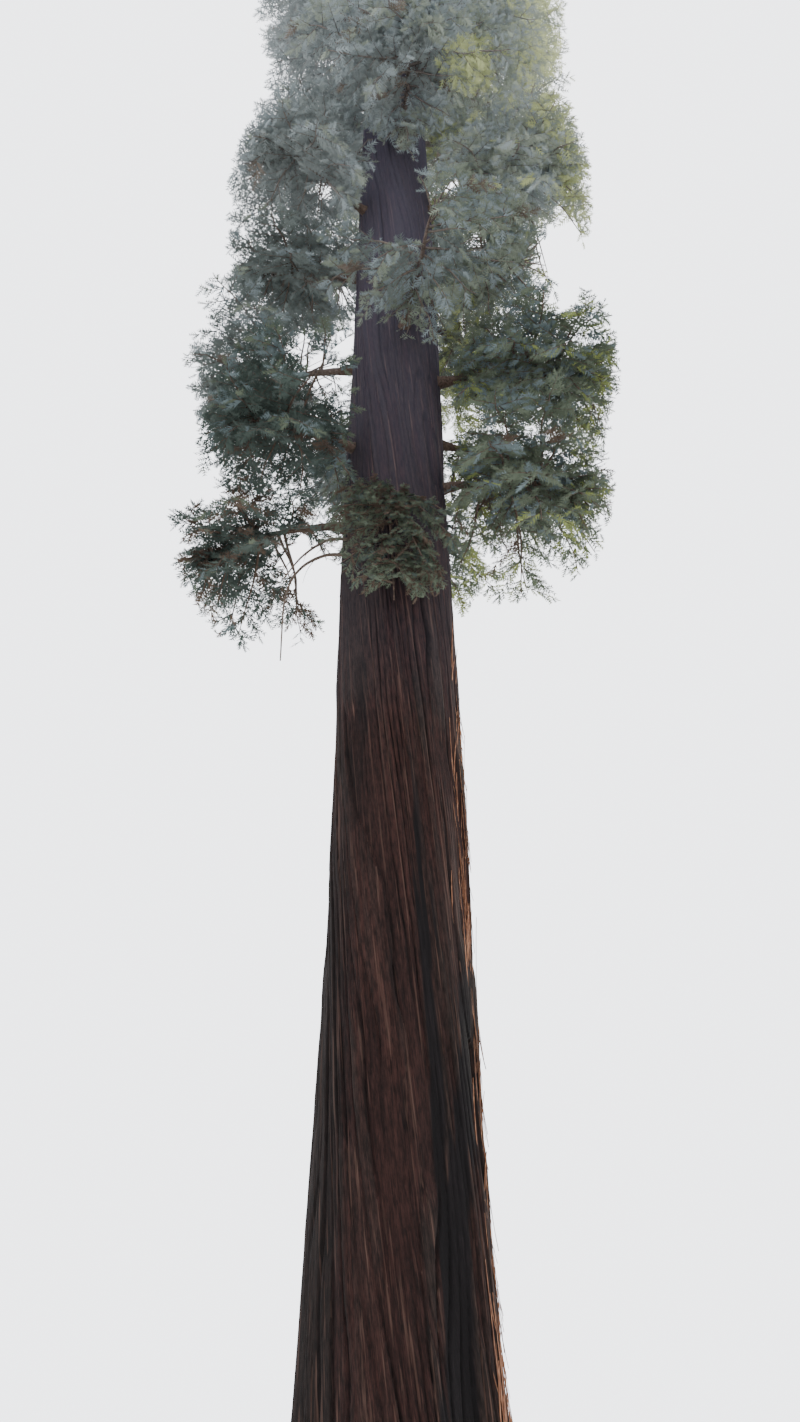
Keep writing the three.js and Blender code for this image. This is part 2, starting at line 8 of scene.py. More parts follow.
import bpy
import numpy as np
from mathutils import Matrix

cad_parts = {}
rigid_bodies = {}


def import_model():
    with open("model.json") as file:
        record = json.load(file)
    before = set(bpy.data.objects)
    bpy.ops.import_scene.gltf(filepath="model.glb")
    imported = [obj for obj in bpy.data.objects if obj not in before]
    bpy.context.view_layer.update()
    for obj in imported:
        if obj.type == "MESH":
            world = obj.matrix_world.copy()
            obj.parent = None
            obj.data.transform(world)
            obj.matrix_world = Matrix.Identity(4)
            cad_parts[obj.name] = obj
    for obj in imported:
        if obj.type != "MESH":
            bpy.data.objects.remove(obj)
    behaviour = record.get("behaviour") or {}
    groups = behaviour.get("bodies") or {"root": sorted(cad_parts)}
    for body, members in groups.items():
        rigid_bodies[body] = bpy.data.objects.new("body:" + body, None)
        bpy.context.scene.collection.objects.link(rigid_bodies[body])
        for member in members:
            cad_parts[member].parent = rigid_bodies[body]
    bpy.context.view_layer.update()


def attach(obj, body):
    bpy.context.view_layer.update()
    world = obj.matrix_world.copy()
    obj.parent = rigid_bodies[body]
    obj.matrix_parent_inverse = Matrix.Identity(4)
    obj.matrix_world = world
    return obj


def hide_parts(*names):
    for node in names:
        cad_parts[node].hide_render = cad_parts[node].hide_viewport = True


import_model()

# Lengths are in metres and angles in degrees. A bearing is seen from above: 0 is to the viewer's right and 90
# is away from the viewer. These first sizes are those of the solids.
SEED = 41
TREE_HEIGHT = 39.96
TRUNK_TOP = 37.9
BOLE_DIAMETER = 1.62
TAPER_POWER = 0.48
TIP_POWER = 0.45
TIP_RADIUS = 0.014
FLARE_DIAMETER, FLARE_HEIGHT = 0.3, 3.2
ROOT_FLARE_DIAMETER, ROOT_FLARE_HEIGHT = 0.56, 0.42
LEAN_PER_METRE = -0.0045
TWIST_PER_METRE = 8
BUTTRESSES, BUTTRESS_DEPTH, BUTTRESS_HEIGHT = 7, 0.085, 0.9
FLUTES, FLUTE_DEPTH = 5, 0.022
GROOVE_BEARING, GROOVE_DRIFT = 316, -4.5
GROOVE_DEPTH, GROOVE_HALF_WIDTH, GROOVE_HEIGHT = 0.085, 15, 7.6

# The crown
CROWN_FOOT = 10.2
CROWN_REACH = 3.12
SHOULDER_POWER = 2.4
POINT_POWER = 0.62
REACH_JITTER = 0.08
# The masses of the lower crown, lowest first: bearing, height, and reach as a share of the crown's there.
LOWER_MASSES = [
    (268, 10.65, 1), (184, 11.25, 0.96), (345, 11.95, 0.94), (78, 13.0, 0.92), (206, 12.75, 0.92),
    (20, 13.4, 0.93), (350, 14.35, 1.08), (110, 14.7, 0.95), (166, 15.05, 1.05), (282, 15.1, 0.98),
    (333, 16.1, 0.87), (32, 16.35, 0.9), (178, 17.15, 0.9), (80, 17.1, 0.95), (214, 18.5, 0.9),
    (134, 18.9, 0.92), (347, 18.9, 1.05), (277, 19.9, 1), (58, 19.8, 1), (186, 20.5, 0.78),
    (14, 21.3, 1.1), (232, 21.9, 0.82), (152, 22.1, 0.8), (318, 22.3, 1), (100, 22.7, 1),
]
THIN_MASSES = {1: 0.87, 9: 0.66}  # half height as a share of the others'
# Openings along the viewer's sight lines: how far across and up on the tree, and the radius there. The sky
# shows through the gaps and the trunk through the windows, and in the sunlit ones the sprays are painted bright
# as sunlight.
SKY_GAPS = [
    (-0.88, 16.5, 0.17), (-0.84, 15.45, 0.15), (-1.12, 14.75, 0.36), (-1.5, 15.4, 0.2), (-1.3, 19.3, 0.22),
    (0.86, 19.4, 0.18), (1.25, 17.9, 0.2), (2.6, 17.5, 0.5), (0.56, 16.6, 0.08), (0.72, 12.6, 0.08),
    (0.7, 11.8, 0.08), (0.69, 11.1, 0.08), (-1.3, 10.95, 0.42), (-0.95, 10.6, 0.25),
]
TRUNK_WINDOWS = [(-0.33, 18.7, 0.36), (0.17, 18.7, 0.36), (-0.08, 19.4, 0.4)]
SUNLIT = [(1.33, 23.4, 0.5), (2.93, 22.0, 0.4), (0.87, 13.8, 0.3)]
RAGGED_EDGE = (0.55, 1.3)  # how far an opening's edge comes and goes, as shares of its radius
UPPER_MASSES = 15
UPPER_STEP = 1.0
LOPSIDED = 0.17
FULLER_WIDTH, FULLER_HEIGHT = 1.3, 1.2
GOLDEN_ANGLE = 137.5
MASSES = len(LOWER_MASSES) + UPPER_MASSES
BOUGHS = 16
FIRST_SLOPE, LAST_SLOPE = -34, 40
BARE_LENGTH = 0.24
WIDTH_SHARE = 0.6
MASS_HALF_HEIGHT = 1.64
INNER_POWER = 4
CLOSED_FROM, CLOSED_TO = 0.3, 0.6
CLOSED_WIDTH, CLOSED_HEIGHT, CLOSED_BARE = 1.3, 1.2, 0.25
VEIL_BARE, VEIL_THICKNESS, VEIL_HALF_WIDTH, VEIL_HALF_HEIGHT = 0.06, 0.76, 1.0, 1.15
VEIL_STEM = [(0.75, 0.85), (1.9, 0.95), (1.15, -0.75)]
BOUGH_RADIUS = 0.092
STEM_SHARE = 0.62
SPACE_MARGIN = 0.035
BARK_MARGIN = 0.07
BARE_MARGIN = 0.33
LEADER_HALF_WIDTH, LEADER_RADIUS = 0.66, 0.022
CAMERA_PLACE = np.array([0, -12.0, 0.8])  # where the viewer stands
# The dead limbs under the lowest mass: bearing, and the places passed, each as a distance out and a height.
BARE_LIMBS = {
    "bare_limb_long": (192, [(0.56, 11.08), (0.95, 11.02), (1.29, 10.7), (1.44, 10.2), (1.45, 9.25)]),
    "bare_limb_short": (201, [(0.56, 11.28), (0.93, 11.17), (1.27, 10.8), (1.52, 10.33)]),
}
BARE_RADIUS, BARE_TIP_RADIUS = 0.026, 0.008
BARE_TWIG_LENGTH, BARE_TWIG_RADIUS, BARE_TWIG_TIP = (0.12, 0.3), 0.006, 0.002

# Bark
BARK_COLUMNS = 480
BARK_SPANS = [(0, 7.6, 200), (7.6, 17.2, 200), (17.2, TRUNK_TOP, 190)]  # bottom, top and rows
BROAD_STRIPS, BROAD_LENGTH, BROAD_DEPTH = 44, 2.6, 0.03
FINE_STRIPS, FINE_LENGTH, FINE_DEPTH = 98, 1.7, 0.009
STRIP_STAND = 0.034  # how far broad strips stand before or behind each other
OLD_BEARING, RED_BEARING, RIM_BEARING = 205, 256, 348  # grey bark, red bark, and the rim beside the nearly black band
DARK_BAND_BEARING, DARK_BAND_BEND = 303, 1.1  # the nearly black band's middle at the foot, and how fast it bends off upwards
DARK_BAND_HALF_WIDTH, DARK_BAND_HEIGHT = 16, 6.2
# The narrow nearly black band down the groove
GROOVE_BAND_HALF_WIDTH, GROOVE_BAND_HEIGHT = 5.5, 8.2
PEELINGS, PEELING_SPREAD, PEELING_HEIGHTS = 260, 8, (0.4, 9)
PEELING_WIDTH, PEELING_LENGTH, PEELING_THICKNESS = (0.005, 0.018), (0.25, 0.95), (0.006, 0.022)
PEELING_CURLS = (1.0, 1.8, 2.6)
PEELING_SINK = 0.004
PEELING_SECTION = [(-1, 0), (1, 0.12), (1, -0.1), (-1, -0.22)]  # its corners, in half widths and thicknesses
HANGING_SHARE = 0.7

# Foliage, from the branches on a stem down to the sprays on a twig
BRANCHES_PER_AREA = 1.45  # branches for each square metre of a mass's surface
MORE_BRANCHES, MORE_VEIL_BRANCHES, LEADER_BRANCHES = 12, 16, 76
TWIG_SPACING, SPRAY_SPACING = 0.62, 0.24  # as shares of the length of a spray
BRANCH_SAG, CLOSED_BRANCH_SAG, TWIG_SAG, SPRAY_SAG = 0.24, 0.04, 0.22, 0.1  # as shares of the length
TWIG_SPREAD, TWIG_RISE = 52, -0.06
SPRAY_SPREAD, SPRAY_RISE = 46, -0.28
LEAST_BRANCH, LEAST_SHOOT = 0.25, 0.07  # no branch, and no twig or spray, is shorter
FURTHEST = 3.24  # and none of them ends further from the axis
CUT_BACK = (1, 0.86, 0.72, 0.58, 0.44)  # the shares of a length that are tried, to keep to a space
LOW_SPRAY, HIGH_SPRAY = 0.175, 0.34  # the length of a spray at the crown's foot and at the top
VEIL_SPRAY = 0.52  # the veil's sprays are finer by this
SHOOT_BREADTH = (0.11, 0.085)  # of a spray's length, at the crown's foot and top
SPRAY_SHAPES = [(4, 44), (4, 36), (4, 52), (5, 40)]  # pairs of shoots, and how wide they open
SPRAY_DROOP, SPRAY_FOLD = 0.16, 0.4  # how far a spray bends down along its length, and to its sides
BRANCH_RADII = (0.012, 0.011, 0.25)  # at the root, more for each metre of length, and the end's share of that
TWIG_RADII = (0.004, 0.006, 0.35)
SHADED, GREEN, BLUE, PAINTED_SUN, BROWN = range(5)  # the kinds of needles. The darkest is painted shade, the bright one painted sunlight, and the blue one partly painted haze
SUNNY_SIDE = np.array([0.8, 0.6, 0])
HAZE_FROM, HAZE_HEIGHT = 12, 12  # painted haze: the foliage turns bluer, and more of it is painted sunlit, from here up, over this height
BLUE_OVER, SHADED_UNDER, PAINTED_SUN_OVER = (0.62, 0.42), 0.72, 0.62  # limits for the kinds of needles
# The tiers of the crown, each with its first mass and the one after its last
TIERS = {
    "lowest": (0, 7), "lower": (7, 14), "middle": (14, 20), "upper": (20, 26), "topmost": (26, MASSES + 1),
}

# Colours. The bark's go from the bottom of a furrow, darkened there as painted shade, to the back of a strip.
RED_BARK = [(0.2, "#170f0e"), (0.5, "#2d1c1a"), (0.8, "#4b2e29"), (1.0, "#644038")]
GREY_BARK = [(0.2, "#130e0d"), (0.5, "#251b19"), (0.8, "#392c28"), (1.0, "#493834")]
PALE_FIBRES = "#7b5e52"
# Bark high up is painted towards this grey-blue as haze.
HAZE_PAINTED_BARK = "#585566"
# The nearly black band, from its darkest to its lightest
DARK_BAND_TONES = [(0.3, "#090708"), (0.65, "#120e10"), (0.95, "#20191b")]
FIBRE_TONES = [(0.25, "#8f8f8f"), (0.5, "#c8c8c8"), (0.75, "#ffffff")]
FLAKE_TONES = [(0.35, "#9a9a9a"), (0.6, "#ffffff")]
TORN_BARK = [(0.3, "#543528"), (0.55, "#946347"), (0.75, "#d0a482")]
# Patterns in the bark: how many to a metre across and along the grain, their detail and roughness. The fibres
# are about 2 mm across, but drawn 9 mm wide and 300 mm long, so that they show.
BARK_PATTERNS = {
    "fibres": (110, 3.3, 4, 0.6), "patches": (2.4, 0.45, 3, 0.55),
    "flakes": (26, 6, 4, 0.7), "streaks": (30, 0.4, 2, 0.5),
}
# Wood, each in a dark and a light tone. The high ones are those at the top, paler and greyer there as painted
# haze.
LIMB_BARK, HAZE_PAINTED_LIMB_BARK = ("#372b27", "#66554c"), ("#6c6766", "#8d8988")
TWIG_BARK, HAZE_PAINTED_TWIG_BARK = ("#4a3f38", "#6a5b50"), ("#8a898b", "#a5a5a7")
DEAD_WOOD = ("#4a3e38", "#85776c")
# Needles, each at the crown's foot and at its top, where they are paler and bluer as painted haze
NEEDLES = {
    "deep": ("#4d5a56", "#a9b1b5"), "green": ("#616c5e", "#b0b9b1"), "blue": ("#69787d", "#b6c0c6"),
    "bright": ("#8a965e", "#d2d9ad"), "brown": ("#5c4f46", "#8b847e"),
}

# The setting: the camera where the viewer stands, a pale floor and soft studio light
CAMERA_TILT = 33.4
FOCAL_PIXELS, IMAGE_HEIGHT = 1183, 1422
SENSOR = 36.0
FLOOR_RADIUS, FLOOR_DROP, FLOOR_SIDES = 220, 0.002, 64
FLOOR_GREY = "#d8d8d4"
SKY_SEEN, SKY_LIGHT = ("#f4f6fb", 4.0), ("#e9edf5", 1.9)  # colour and strength, behind the tree and on it
SUN_COLOUR, SUN_STRENGTH, SUN_BREADTH = "#fff0d6", 3.4, 12
SUN_TURN = (-30, 22, 0)

UP = np.array([0.0, 0.0, 1.0])
TURN = 2 * math.pi
GOLDEN_SHARE = 0.618034
BATCH = 20000  # points worked on at a time, which spares memory
COLOUR_A, COLOUR_B, COLOUR_OUT = 6, 7, 2  # the colour sockets of a Mix node
random = np.random.default_rng(SEED)


# Small helpers
def mix(a, b, share):
    return a + (b - a) * share


def smooth(share):
    share = np.clip(share, 0, 1)
    return share * share * (3 - 2 * share)


def unit(vectors):
    return vectors / np.maximum(np.linalg.norm(vectors, axis=-1, keepdims=True), 1e-9)


def jitter(count, spread):
    return random.uniform(-spread, spread, count)


def level_round(turn):
    """Level directions, from angles in radians."""
    return np.stack([np.cos(turn), np.sin(turn), 0 * turn], -1)


def whole_numbers_random(seed):
    """The seeded random numbers that the solids' plan draws from."""
    state = seed

    def draw():
        nonlocal state
        state = (state + 0x6D2B79F5) & 0xFFFFFFFF
        t = ((state ^ (state >> 15)) * (1 | state)) & 0xFFFFFFFF
        t = ((t + (((t ^ (t >> 7)) * (61 | t)) & 0xFFFFFFFF)) & 0xFFFFFFFF) ^ t
        return (t ^ (t >> 14)) / 4294967296

    return draw


# The trunk's shape
def bole_radius(height):
    share = np.clip(height / TREE_HEIGHT, 0, 1)
    bole = BOLE_DIAMETER / 2 * (1 - share) ** (TAPER_POWER + TIP_POWER * share**3)
    return np.maximum(bole + FLARE_DIAMETER / 2 * np.exp(-height / FLARE_HEIGHT), TIP_RADIUS)


def axis_at(height):
    height = np.asarray(height, float)
    return np.stack([LEAN_PER_METRE * height, 0 * height, height], -1)


def trunk_radius(bearing, height):
    grain = np.radians(bearing + TWIST_PER_METRE * height)
    roots = ROOT_FLARE_DIAMETER / 2 * np.exp(-height / ROOT_FLARE_HEIGHT)
    buttress = BUTTRESS_DEPTH * np.exp(-height / BUTTRESS_HEIGHT) * np.cos(BUTTRESSES * grain)
    flute = FLUTE_DEPTH * np.cos(FLUTES * grain + 1)
    off = angle_between(bearing, GROOVE_BEARING + GROOVE_DRIFT * height)
    fade = np.sqrt(np.maximum(1 - height / GROOVE_HEIGHT, 0))
    groove = GROOVE_DEPTH * fade * np.exp(-((off / GROOVE_HALF_WIDTH) ** 2))
    return (bole_radius(height) + roots) * (1 + buttress + flute) - groove


def angle_between(bearing, other):
    return (bearing - other + 180) % 360 - 180


def direction_at(bearing):
    """The level direction of a bearing."""
    turn = math.radians(bearing)
    return np.array([math.cos(turn), math.sin(turn), 0])


# The crown's plan, as in the solids
def crown_reach(height):
    share = min((height - CROWN_FOOT) / (TREE_HEIGHT - CROWN_FOOT), 1)
    return CROWN_REACH * (1 - share**SHOULDER_POWER) ** POINT_POWER


def plan_mass(index):
    draw = whole_numbers_random(SEED + 97 * index)
    above = max(index - len(LOWER_MASSES) + 1, 0)
    bearing, height, reach_share = LOWER_MASSES[index - above]
    bearing += GOLDEN_ANGLE * above
    height += UPPER_STEP * above
    climbed = above / UPPER_MASSES
    if above:
        reach_share += LOPSIDED * math.cos(math.radians(bearing)) * (1 - climbed)
    share = index / (MASSES - 1)
    veil = index == 0
    reach = crown_reach(height) * reach_share * (1 + REACH_JITTER * (draw() - 0.5))
    size = reach / CROWN_REACH
    closed = float(smooth((share - CLOSED_FROM) / (CLOSED_TO - CLOSED_FROM)))
    bole = float(bole_radius(height))
    inner = bole + (VEIL_BARE if veil else BARE_LENGTH * size * mix(1, CLOSED_BARE, closed))
    radial = VEIL_THICKNESS / 2 if veil else max((reach - inner) / 2, 0.12)
    slope = math.radians(0 if veil else mix(FIRST_SLOPE, LAST_SLOPE, math.sqrt(share)))
    outward = direction_at(bearing)
    across = np.array([-outward[1], outward[0], 0])
    along = outward * math.cos(slope) + UP * math.sin(slope)
    half_length = radial / math.cos(slope)
    fuller = min(climbed / 0.6, 1) * min((1 - climbed) / 0.2, 1)
    wide = reach * WIDTH_SHARE * mix(1, FULLER_WIDTH, fuller) * mix(1, CLOSED_WIDTH, closed)
    tall = MASS_HALF_HEIGHT * THIN_MASSES.get(index, 1) * mix(1, FULLER_HEIGHT, fuller)
    tall *= mix(0.35, 1, size) * mix(1, CLOSED_HEIGHT, closed)
    mass = SimpleNamespace(
        index=index, height=height, veil=veil, closed=closed, slope=slope,
        outward=outward, across=across, along=along, lift=np.cross(along, across),
        centre=axis_at(height) + outward * (inner + radial),
        half=np.array([half_length, VEIL_HALF_WIDTH if veil else wide, VEIL_HALF_HEIGHT if veil else tall]),
        radius=BOUGH_RADIUS * mix(0.3, 1, size), has_bough=0 < index <= BOUGHS,
    )
    plan_limbs(mass, inner, bole)
    return mass


def plan_limbs(mass, inner, bole):
    """Gives a mass the three control points of its stem, and of its bough if it hangs on one."""
    if mass.veil:
        places = [(out, mass.height + rise * mass.half[2]) for out, rise in VEIL_STEM]
        mass.stem = np.array([axis_at(height) + mass.outward * out * bole for out, height in places])
        return
    root = axis_at(mass.height) + mass.outward * (inner if mass.has_bough else bole * 0.6)
    root[2] -= math.tan(mass.slope) * mass.half[0] * 0.9
    end = mass.centre + mass.along * mass.half[0] * 0.55
    arch = (root + end) / 2 + UP * 0.16 * mass.half[0]
    mass.stem = np.array([root, arch, end])
    if mass.has_bough:
        start = axis_at(mass.height) + mass.outward * bole * 0.7
        start[2] = root[2] - 0.1 * BARE_LENGTH
        bend = root - 0.45 * BARE_LENGTH * unit(arch - root)
        mass.bough = np.array([start, bend, root])


def plan_leader():
    """The mass at the very top, which stands on the trunk's tip."""
    middle = (TRUNK_TOP + TREE_HEIGHT) / 2
    half = np.array([LEADER_HALF_WIDTH, LEADER_HALF_WIDTH, (TREE_HEIGHT - TRUNK_TOP) / 2 + 0.05])
    stem = np.array([axis_at(TRUNK_TOP - 0.1), axis_at(middle), axis_at(TREE_HEIGHT - 0.12)])
    return SimpleNamespace(
        index=MASSES, height=middle, veil=False, closed=1,
        outward=np.array([1.0, 0, 0]), across=np.array([0, 1.0, 0]), along=np.array([1.0, 0, 0]), lift=UP,
        centre=axis_at(middle), half=half, radius=LEADER_RADIUS, has_bough=False, stem=stem,
    )


masses = [plan_mass(index) for index in range(MASSES)] + [plan_leader()]
CENTRES = np.array([mass.centre for mass in masses])
AXES = np.array([[mass.along, mass.across, mass.lift] for mass in masses])
HALVES = np.array([mass.half for mass in masses])


def bezier(controls, places):
    """Points on quadratic curves: controls is (..., 3, 3) and places are shares from 0 to 1."""
    a, b, c = (controls[..., k, None, :] for k in range(3))
    t = np.asarray(places)[..., None]
    return a * (1 - t) ** 2 + b * 2 * t * (1 - t) + c * t**2


def through(places, steps):
    """Points on a smooth curve through some places."""
    places = np.array(places)
    padded = np.vstack([2 * places[0] - places[1], places, 2 * places[-1] - places[-2]])
    points = []
    for share in np.linspace(0, len(places) - 1 - 1e-9, steps + 1):
        k, t = int(share), share - int(share)
        a, b, c, d = padded[k : k + 4]
        curve = 2 * b + (c - a) * t + (2 * a - 5 * b + 4 * c - d) * t**2 + (3 * b - 3 * c + d - a) * t**3
        points.append(curve / 2)
    return np.array(points)


def bare_curve(bearing, places, steps=24):
    return through([axis_at(height) + direction_at(bearing) * out for out, height in places], steps)


bare_curves = {name: bare_curve(*limb) for name, limb in BARE_LIMBS.items()}
BARE_POINTS = np.vstack(list(bare_curves.values()))


def depths(points):
    """How far out each point lies in each mass: 0 at its centre, 1 at its edge."""
    offsets = points[:, None] - CENTRES
    local = np.einsum("pmk,mak->pma", offsets, AXES) / HALVES
    along, round_out = local[..., 0], np.hypot(local[..., 1], local[..., 2])
    power = np.where(along < 0, INNER_POWER, 2)
    return (np.abs(along) ** power + round_out**power) ** (1 / power)


def in_openings(points, openings):
    """Whether each point is in an opening. Openings widen with the distance from the viewer."""
    inside = np.zeros(len(points), bool)
    lines = points - CAMERA_PLACE
    for across, height, radius in openings:
        middle = np.array([across, 0, height]) - CAMERA_PLACE
        distance = np.linalg.norm(middle)
        along = lines @ middle / distance
        off = np.linalg.norm(lines - along[:, None] * middle / distance, axis=1)
        inside |= off < radius * along / distance * random.uniform(*RAGGED_EDGE, len(points))
    return inside


def in_view(points):
    """Whether each point would hide the sky in a gap or the trunk in a window."""
    return in_openings(points, SKY_GAPS) | ((points[:, 1] < 0) & in_openings(points, TRUNK_WINDOWS))


def owns(points, owners):
    """Whether each point is in its own mass's space: nearer to it than to any other mass, and clear of the
    trunk and of the bare limbs."""
    inside = np.zeros(len(points), bool)
    for first in range(0, len(points), BATCH):
        some = points[first : first + BATCH]
        own = owners[first : first + BATCH]
        depth = depths(some)
        rows = np.arange(len(some))
        mine = depth[rows, own].copy()
        depth[rows, own] = 9
        out = np.hypot(some[:, 0] - LEAN_PER_METRE * some[:, 2], some[:, 1])
        good = (mine <= 1) & (depth.min(1) >= mine + SPACE_MARGIN) & (some[:, 2] <= TREE_HEIGHT)
        good &= (out > bole_radius(some[:, 2]) + BARK_MARGIN) | (some[:, 2] > TRUNK_TOP)
        near = np.abs(some[:, 2] - BARE_POINTS[:, 2].mean()) < 2.5
        gaps = np.linalg.norm(some[near, None] - BARE_POINTS, axis=2).min(1, initial=9)
        good[near] &= gaps > BARE_MARGIN
        inside[first : first + BATCH] = good
    return inside


# Growing the foliage
def arc(starts, directions, lengths, sag, steps):
    """Curves that leave along a direction and sag: (curves, steps + 1, 3)."""
    t = np.linspace(0, 1, steps + 1)[None, :, None]
    run = lengths[:, None, None] * t
    return starts[:, None] + directions[:, None] * run - UP * (sag * lengths)[:, None, None] * t**2


def edge_distance(starts, directions, owners):
    """How far along each direction its mass's space ends, after the line has first entered it."""
    distances = np.arange(0.05, 3.6, 0.11)
    points = starts[:, None] + directions[:, None] * distances[None, :, None]
    owned = owns(points.reshape(-1, 3), np.repeat(owners, len(distances))).reshape(len(starts), -1)
    first = owned.argmax(1)
    after = ~owned & (np.arange(len(distances)) > first[:, None])
    last = np.where(after.any(1), after.argmax(1), len(distances) - 1)
    return np.where(owned.any(1), distances[last], 0)


def fitted(starts, directions, lengths, sag, owners):
    """The lengths, each cut back until its curve's middle and end are in its mass's space and its end is near
    enough to the axis, or 0 if none fits."""
    fit = np.zeros(len(lengths))
    for share in CUT_BACK:
        length = lengths * share
        ends = starts + directions * length[:, None] - UP * (sag * length)[:, None]
        middles = starts + directions * length[:, None] / 2 - UP * (sag * length)[:, None] / 4
        good = (fit == 0) & owns(ends, owners) & (np.hypot(ends[:, 0], ends[:, 1]) < FURTHEST)
        good[good] &= owns(middles[good], owners[good])
        fit[good] = length[good]
    return fit


def surface_area(half):
    a, b, c = half
    return 2 * math.pi * math.sqrt(((a * b) ** 2 + (a * c) ** 2 + (b * c) ** 2) * 2 / 3) * 1.02


def level(mass, turn, climb):
    """Directions that turn off a mass's bearing and climb above the level, in radians."""
    flat = mass.outward * np.cos(turn)[:, None] + mass.across * np.sin(turn)[:, None]
    return flat * np.cos(climb)[:, None] + UP * np.sin(climb)[:, None]


def branches_of(mass):
    """A mass's branches: their roots on the stem, directions, sag and owner. They leave it to both hands in
    turn, and fan out over the whole height of the mass."""
    leader = mass.index == MASSES
    dense = mix(1, 1.4, mass.closed) * mix(1, 1.35, float(smooth((mass.height - 24) / 8)))
    count = int(BRANCHES_PER_AREA * surface_area(mass.half) * dense)
    count = LEADER_BRANCHES if leader else count + (MORE_VEIL_BRANCHES if mass.veil else MORE_BRANCHES)
    k = np.arange(count)
    share = (k + 0.5) / count
    hand = np.where(k % 2, 1, -1)
    if mass.veil:
        roots = bezier(mass.stem, mix(0.12, 0.96, share))
        turn = hand * np.radians(mix(88, 40, share)) + jitter(count, 0.5)
        climb = np.radians(-36 - 16 * hand) + jitter(count, 0.35)
    elif leader:
        roots = bezier(mass.stem, mix(0.05, 0.97, share))
        turn = np.radians(GOLDEN_ANGLE) * k
        climb = np.radians(mix(5, 72, share))
    else:
        roots = bezier(mass.stem, mix(0.05, 1, share**0.85))
        turn = hand * np.radians(mix(140, 6, share**1.1)) + jitter(count, 0.25)
        fan = 2 * ((k * GOLDEN_SHARE) % 1) - 1
        rise = mass.slope * np.cos(turn) * mix(1, 0.6, mass.closed)
        climb = rise + np.radians(mix(78, 52, share) * fan) + jitter(count, 0.12)
    sag = np.full(count, mix(BRANCH_SAG, CLOSED_BRANCH_SAG, mass.closed))
    return roots, level(mass, turn, climb), sag, np.full(count, mass.index)


def side_of(directions):
    """A level direction across each of these."""
    flat = np.stack([-directions[:, 1], directions[:, 0], 0 * directions[:, 0]], -1)
    flat[np.linalg.norm(flat, axis=1) < 1e-3] = (1, 0, 0)
    return unit(flat)


def offshoots(curves, lengths, owners, spacing, spread, rise, wanted, sag):
    """Side growth a spacing apart along curves, to both hands in turn. wanted gives its lengths from the
    places along the curves and the curves' own numbers. What would hide an opening gets no length."""
    counts = np.maximum(np.round(lengths / spacing).astype(int), 2)
    parent = np.repeat(np.arange(len(curves)), counts)
    number = np.arange(len(parent)) - np.repeat(np.cumsum(counts) - counts, counts)
    share = np.clip((number + 0.55 + jitter(len(parent), 0.3)) / counts[parent], 0.03, 1)
    steps = curves.shape[1] - 1
    place = np.minimum(share * steps, steps - 1e-6)
    k = place.astype(int)
    below, above = curves[parent, k], curves[parent, k + 1]
    roots = mix(below, above, (place - k)[:, None])
    forward = unit(above - below)
    hand = np.where(number % 2, 1, -1) * random.choice([-1, 1], len(curves))[parent]
    angle = np.radians(spread) + jitter(len(parent), 0.3)
    angle *= np.where(number == counts[parent] - 1, 0.2, 1)
    directions = forward * np.cos(angle)[:, None] + side_of(forward) * (hand * np.sin(angle))[:, None]
    directions = unit(directions + UP * (rise + jitter(len(parent), 0.3))[:, None])
    sags = np.full(len(parent), sag)
    fit = fitted(roots, directions, wanted(share, parent), sags, owners[parent])
    fit[in_view(roots + directions * fit[:, None])] = 0
    return SimpleNamespace(
        roots=roots, directions=directions, lengths=fit, owners=owners[parent], parent=parent, place=share,
    )


def kept(growth, keep):
    return SimpleNamespace(**{name: values[keep] for name, values in vars(growth).items()})


def bare_ends_off(growth, side_growth):
    """Cuts growth back to the last side growth on it, and leaves out what has none near its end."""
    last = np.zeros(len(growth.roots))
    np.maximum.at(last, side_growth.parent, side_growth.place)
    steps = growth.curves.shape[1] - 1
    place = np.minimum(last + 0.05, 1)[:, None] * np.linspace(0, steps, steps + 1)
    k = np.minimum(place.astype(int), steps - 1)
    rows = np.arange(len(place))[:, None]
    growth.curves = mix(growth.curves[rows, k], growth.curves[rows, k + 1], (place - k)[..., None])
    return kept(growth, last > 0.25)


def wander(curves, amount):
    """Bends curves gently sideways, the more the further out."""
    count, steps = curves.shape[0], curves.shape[1]
    t = np.linspace(0, 1, steps)[None, :]
    phase, turns = random.uniform(0, TURN, (count, 1)), random.uniform(0.6, 1.6, (count, 1))
    swing = (np.sin(phase + TURN * turns * t) - np.sin(phase)) * amount * t
    side = side_of(curves[:, -1] - curves[:, 0])
    length = np.linalg.norm(curves[:, -1] - curves[:, 0], axis=1)
    return curves + side[:, None] * (swing * length[:, None])[:, :, None]


def spray_length(growth):
    """Sprays are larger higher up, where they are seen from further off, and small again round the tip."""
    share = np.clip((growth.roots[:, 2] - CROWN_FOOT) / (TREE_HEIGHT - CROWN_FOOT), 0, 1)
    length = mix(LOW_SPRAY, HIGH_SPRAY, share**2) * mix(1, 0.6, smooth((share - 0.85) / 0.15))
    return length * np.where(growth.owners == 0, VEIL_SPRAY, 1)


